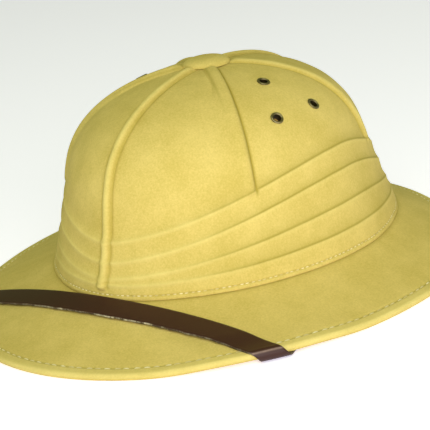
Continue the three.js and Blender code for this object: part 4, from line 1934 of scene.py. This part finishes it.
@dataclass
class Seams:
    """The stitched seams: one round the hem of the crown, one round the hem of the brim."""

    crown: CrownForm
    brim: BrimForm
    crown_stitches: Stitching = field(default_factory=lambda: Stitching(2.3, 3.5, 0.34))
    brim_stitches: Stitching = field(default_factory=lambda: Stitching(4.3, 5.6, 0.42))

    def crown_path(self, angle: Array) -> Array:
        """The crown's hem seam: a fixed height above the foot.

        Args:
            angle: Polar angle in radians.

        Returns:
            Points of the seam.
        """
        form = self.crown
        share = np.zeros_like(angle) + form.hem_height / form.height
        first, others = form.fold_steps(share * form.height, angle)
        relief = first + others + form.flare(share * form.height)
        lift = form.uneven(angle, share * form.height) - form.hem_groove
        return form.place(angle, share, relief, lift)

    def crown_up(self, angle: Array) -> Array:
        """Outward direction at the crown's hem, level."""
        return np.stack([np.cos(angle), np.sin(angle), np.zeros_like(angle)], -1)

    def brim_path(self, angle: Array) -> Array:
        """The brim's hem seam: a fixed distance in from the rim."""
        inward = np.zeros_like(angle) + self.brim.hem_width
        return self.brim.place(angle, inward, self.brim.top(angle, inward))

    def brim_up(self, angle: Array) -> Array:
        """Upward direction at the brim's hem."""
        return np.stack([0.1 * np.cos(angle), 0.1 * np.sin(angle), np.ones_like(angle)], -1)

    def build(self, thread: bpy.types.Material) -> None:
        """Builds both rows of stitches.

        Args:
            thread: The finish.
        """
        crown = self.crown_stitches.skin(self.crown_path, self.crown_up)
        dress(crown.to_object("crown_hem_stitches", thread), Slot.CLOTH)
        brim = self.brim_stitches.skin(self.brim_path, self.brim_up)
        dress(brim.to_object("brim_hem_stitches", thread), Slot.CLOTH)


def dress(piece: bpy.types.Object, slot: Slot, *nodes: str) -> None:
    """Rides a piece on the one body, and lets it stand for CAD nodes.

    Args:
        piece: A finished piece.
        slot: Its material slot; not used.
        nodes: CAD nodes that it stands for, if any.
    """
    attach(piece, "root")
    if nodes:
        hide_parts(*nodes)
    logger.info("%s: %d faces", piece.name, len(piece.data.polygons))


# The studio


def facing_axes(azimuth: float, elevation: float) -> Array:
    """Axes of a camera or lamp that faces the helmet.

    Args:
        azimuth: Degrees from the front towards the wearer's left.
        elevation: Degrees above level.

    Returns:
        Rows: right, up, and back, which points away from the helmet.
    """
    turn, rise = math.radians(azimuth), math.radians(elevation)
    level = math.cos(rise)
    back = np.array([math.sin(turn) * level, -math.cos(turn) * level, math.sin(rise)])
    right = np.array([math.cos(turn), math.sin(turn), 0.0])
    return np.stack([right, np.cross(back, right), back])


def standing(axes: Array, place: Array) -> Matrix:
    """World matrix from axes as rows and a place in metres.

    Args:
        axes: Right, up and back as rows.
        place: The place in metres.

    Returns:
        The matrix.
    """
    matrix = np.eye(4)
    matrix[:3, :3] = axes.T
    matrix[:3, 3] = place
    return Matrix(matrix.tolist())


@dataclass(frozen=True)
class Lamp:
    """A square soft light: its direction from the helmet, distance, size, power and colour."""

    name: str
    azimuth: float
    elevation: float
    distance: float
    size: float
    power: float
    colour: Colour


@dataclass
class Studio:
    """Floor, lights and the camera at the photo's angle."""

    azimuth: float = 38.808
    elevation: float = 17.796
    roll: float = -7.697
    focal: float = 1467.5
    scale: float = 1.5555
    centre_u: float = 228.181
    centre_v: float = 228.318
    frame_width: float = 430.0
    sensor_width: float = 36.0
    clip: tuple[float, float] = (0.05, 60.0)
    floor_radius: float = 16000.0
    floor_thickness: float = 20.0
    floor_sides: int = 96
    lit_height: float = 0.06
    surround: Colour = (0.2, 0.25, 0.09)
    lamps: tuple[Lamp, ...] = (
        Lamp("key_light", 60.0, 12.0, 1.6, 1.0, 10.4, (0.96, 0.91, 1.0)),
        Lamp("front_light", 38.0, 12.0, 1.6, 1.0, 5.3, (0.94, 0.87, 1.0)),
        Lamp("high_light", 35.0, 52.0, 1.6, 1.2, 11.7, (0.96, 1.0, 0.9)),
        Lamp("side_light", -60.0, 20.0, 1.6, 1.0, 0.6, (0.95, 1.0, 0.9)),
    )

    def camera(self, crown: CrownForm) -> None:
        """Places the camera so that the middle of the crown's foot falls on its pixel.

        The roll turns the camera's right and up axes about its back axis.

        Args:
            crown: Form of the crown, which says where its foot is.
        """
        right, up, back = facing_axes(self.azimuth, self.elevation)
        roll = math.radians(self.roll)
        rolled_right = math.cos(roll) * right + math.sin(roll) * up
        rolled_up = -math.sin(roll) * right + math.cos(roll) * up
        distance = self.focal / self.scale
        target = np.array([0.0, crown.centre_y, crown.foot_height - 0.3])
        across = (self.centre_u - self.frame_width / 2.0) * distance / self.focal
        down = (self.centre_v - self.frame_width / 2.0) * distance / self.focal
        place = target - across * rolled_right + down * rolled_up + distance * back
        data = bpy.data.cameras.new("photo_camera")
        data.sensor_width = self.sensor_width
        data.lens = self.focal / self.frame_width * self.sensor_width
        data.clip_start, data.clip_end = self.clip
        camera = bpy.data.objects.new("photo_camera", data)
        bpy.context.scene.collection.objects.link(camera)
        camera.matrix_world = standing(np.stack([rolled_right, rolled_up, back]), place * METRES)
        bpy.context.scene.camera = camera

    def light(self, lamp: Lamp) -> None:
        """Adds one soft light that faces the helmet.

        Args:
            lamp: The light.
        """
        data = bpy.data.lights.new(lamp.name, "AREA")
        data.shape, data.size = "SQUARE", lamp.size
        data.energy, data.color = lamp.power, lamp.colour
        axes = facing_axes(lamp.azimuth, lamp.elevation)
        light = bpy.data.objects.new(lamp.name, data)
        bpy.context.scene.collection.objects.link(light)
        light.matrix_world = standing(axes, self.lit_height * UP + axes[2] * lamp.distance)

    def floor(self) -> None:
        """Adds a plain round floor, whose top is at z = 0."""
        turn = round_turn(self.floor_sides)
        rim = self.floor_radius * np.stack([np.cos(turn), np.sin(turn), np.zeros_like(turn)], -1)
        low = -self.floor_thickness * UP
        skin = Skin.from_rings(np.stack([rim + low, rim]), (low, 0.0 * UP))
        skin.to_object("studio_floor", FloorFinish().material())

    def world(self) -> None:
        """Even pale surroundings, and plain display colours."""
        bpy.context.scene.view_settings.view_transform = "Standard"
        world = bpy.data.worlds.new("studio_surround")
        world.use_nodes = True
        background = world.node_tree.nodes["Background"]
        background.inputs["Color"].default_value = (*self.surround, 1.0)
        bpy.context.scene.world = world

    def build(self, crown: CrownForm) -> None:
        """Sets up the whole studio.

        Args:
            crown: Form of the crown, for the camera.
        """
        self.camera(crown)
        self.floor()
        self.world()
        for lamp in self.lamps:
            self.light(lamp)


def main() -> None:
    """Builds the helmet piece by piece, then the studio."""
    logging.basicConfig(level=logging.INFO, format="%(message)s")
    cloth = ClothFinish().material()
    leatherette = LeatheretteFinish().material()
    brass = BrassFinish().material()
    thread = ThreadFinish().material()
    crown_form = CrownForm()
    brim_form = BrimForm(crown_form)
    strap = ChinStrap(brim_form)
    eyelets = Eyelets(crown_form)
    seats = eyelets.seats()
    Studio().build(crown_form)
    Crown(crown_form).build(cloth, seats)
    Brim(brim_form).build(cloth)
    strap.build(leatherette)
    eyelets.build(brass, seats)
    Seams(crown_form, brim_form).build(thread)


if __name__ == "__main__":
    main()
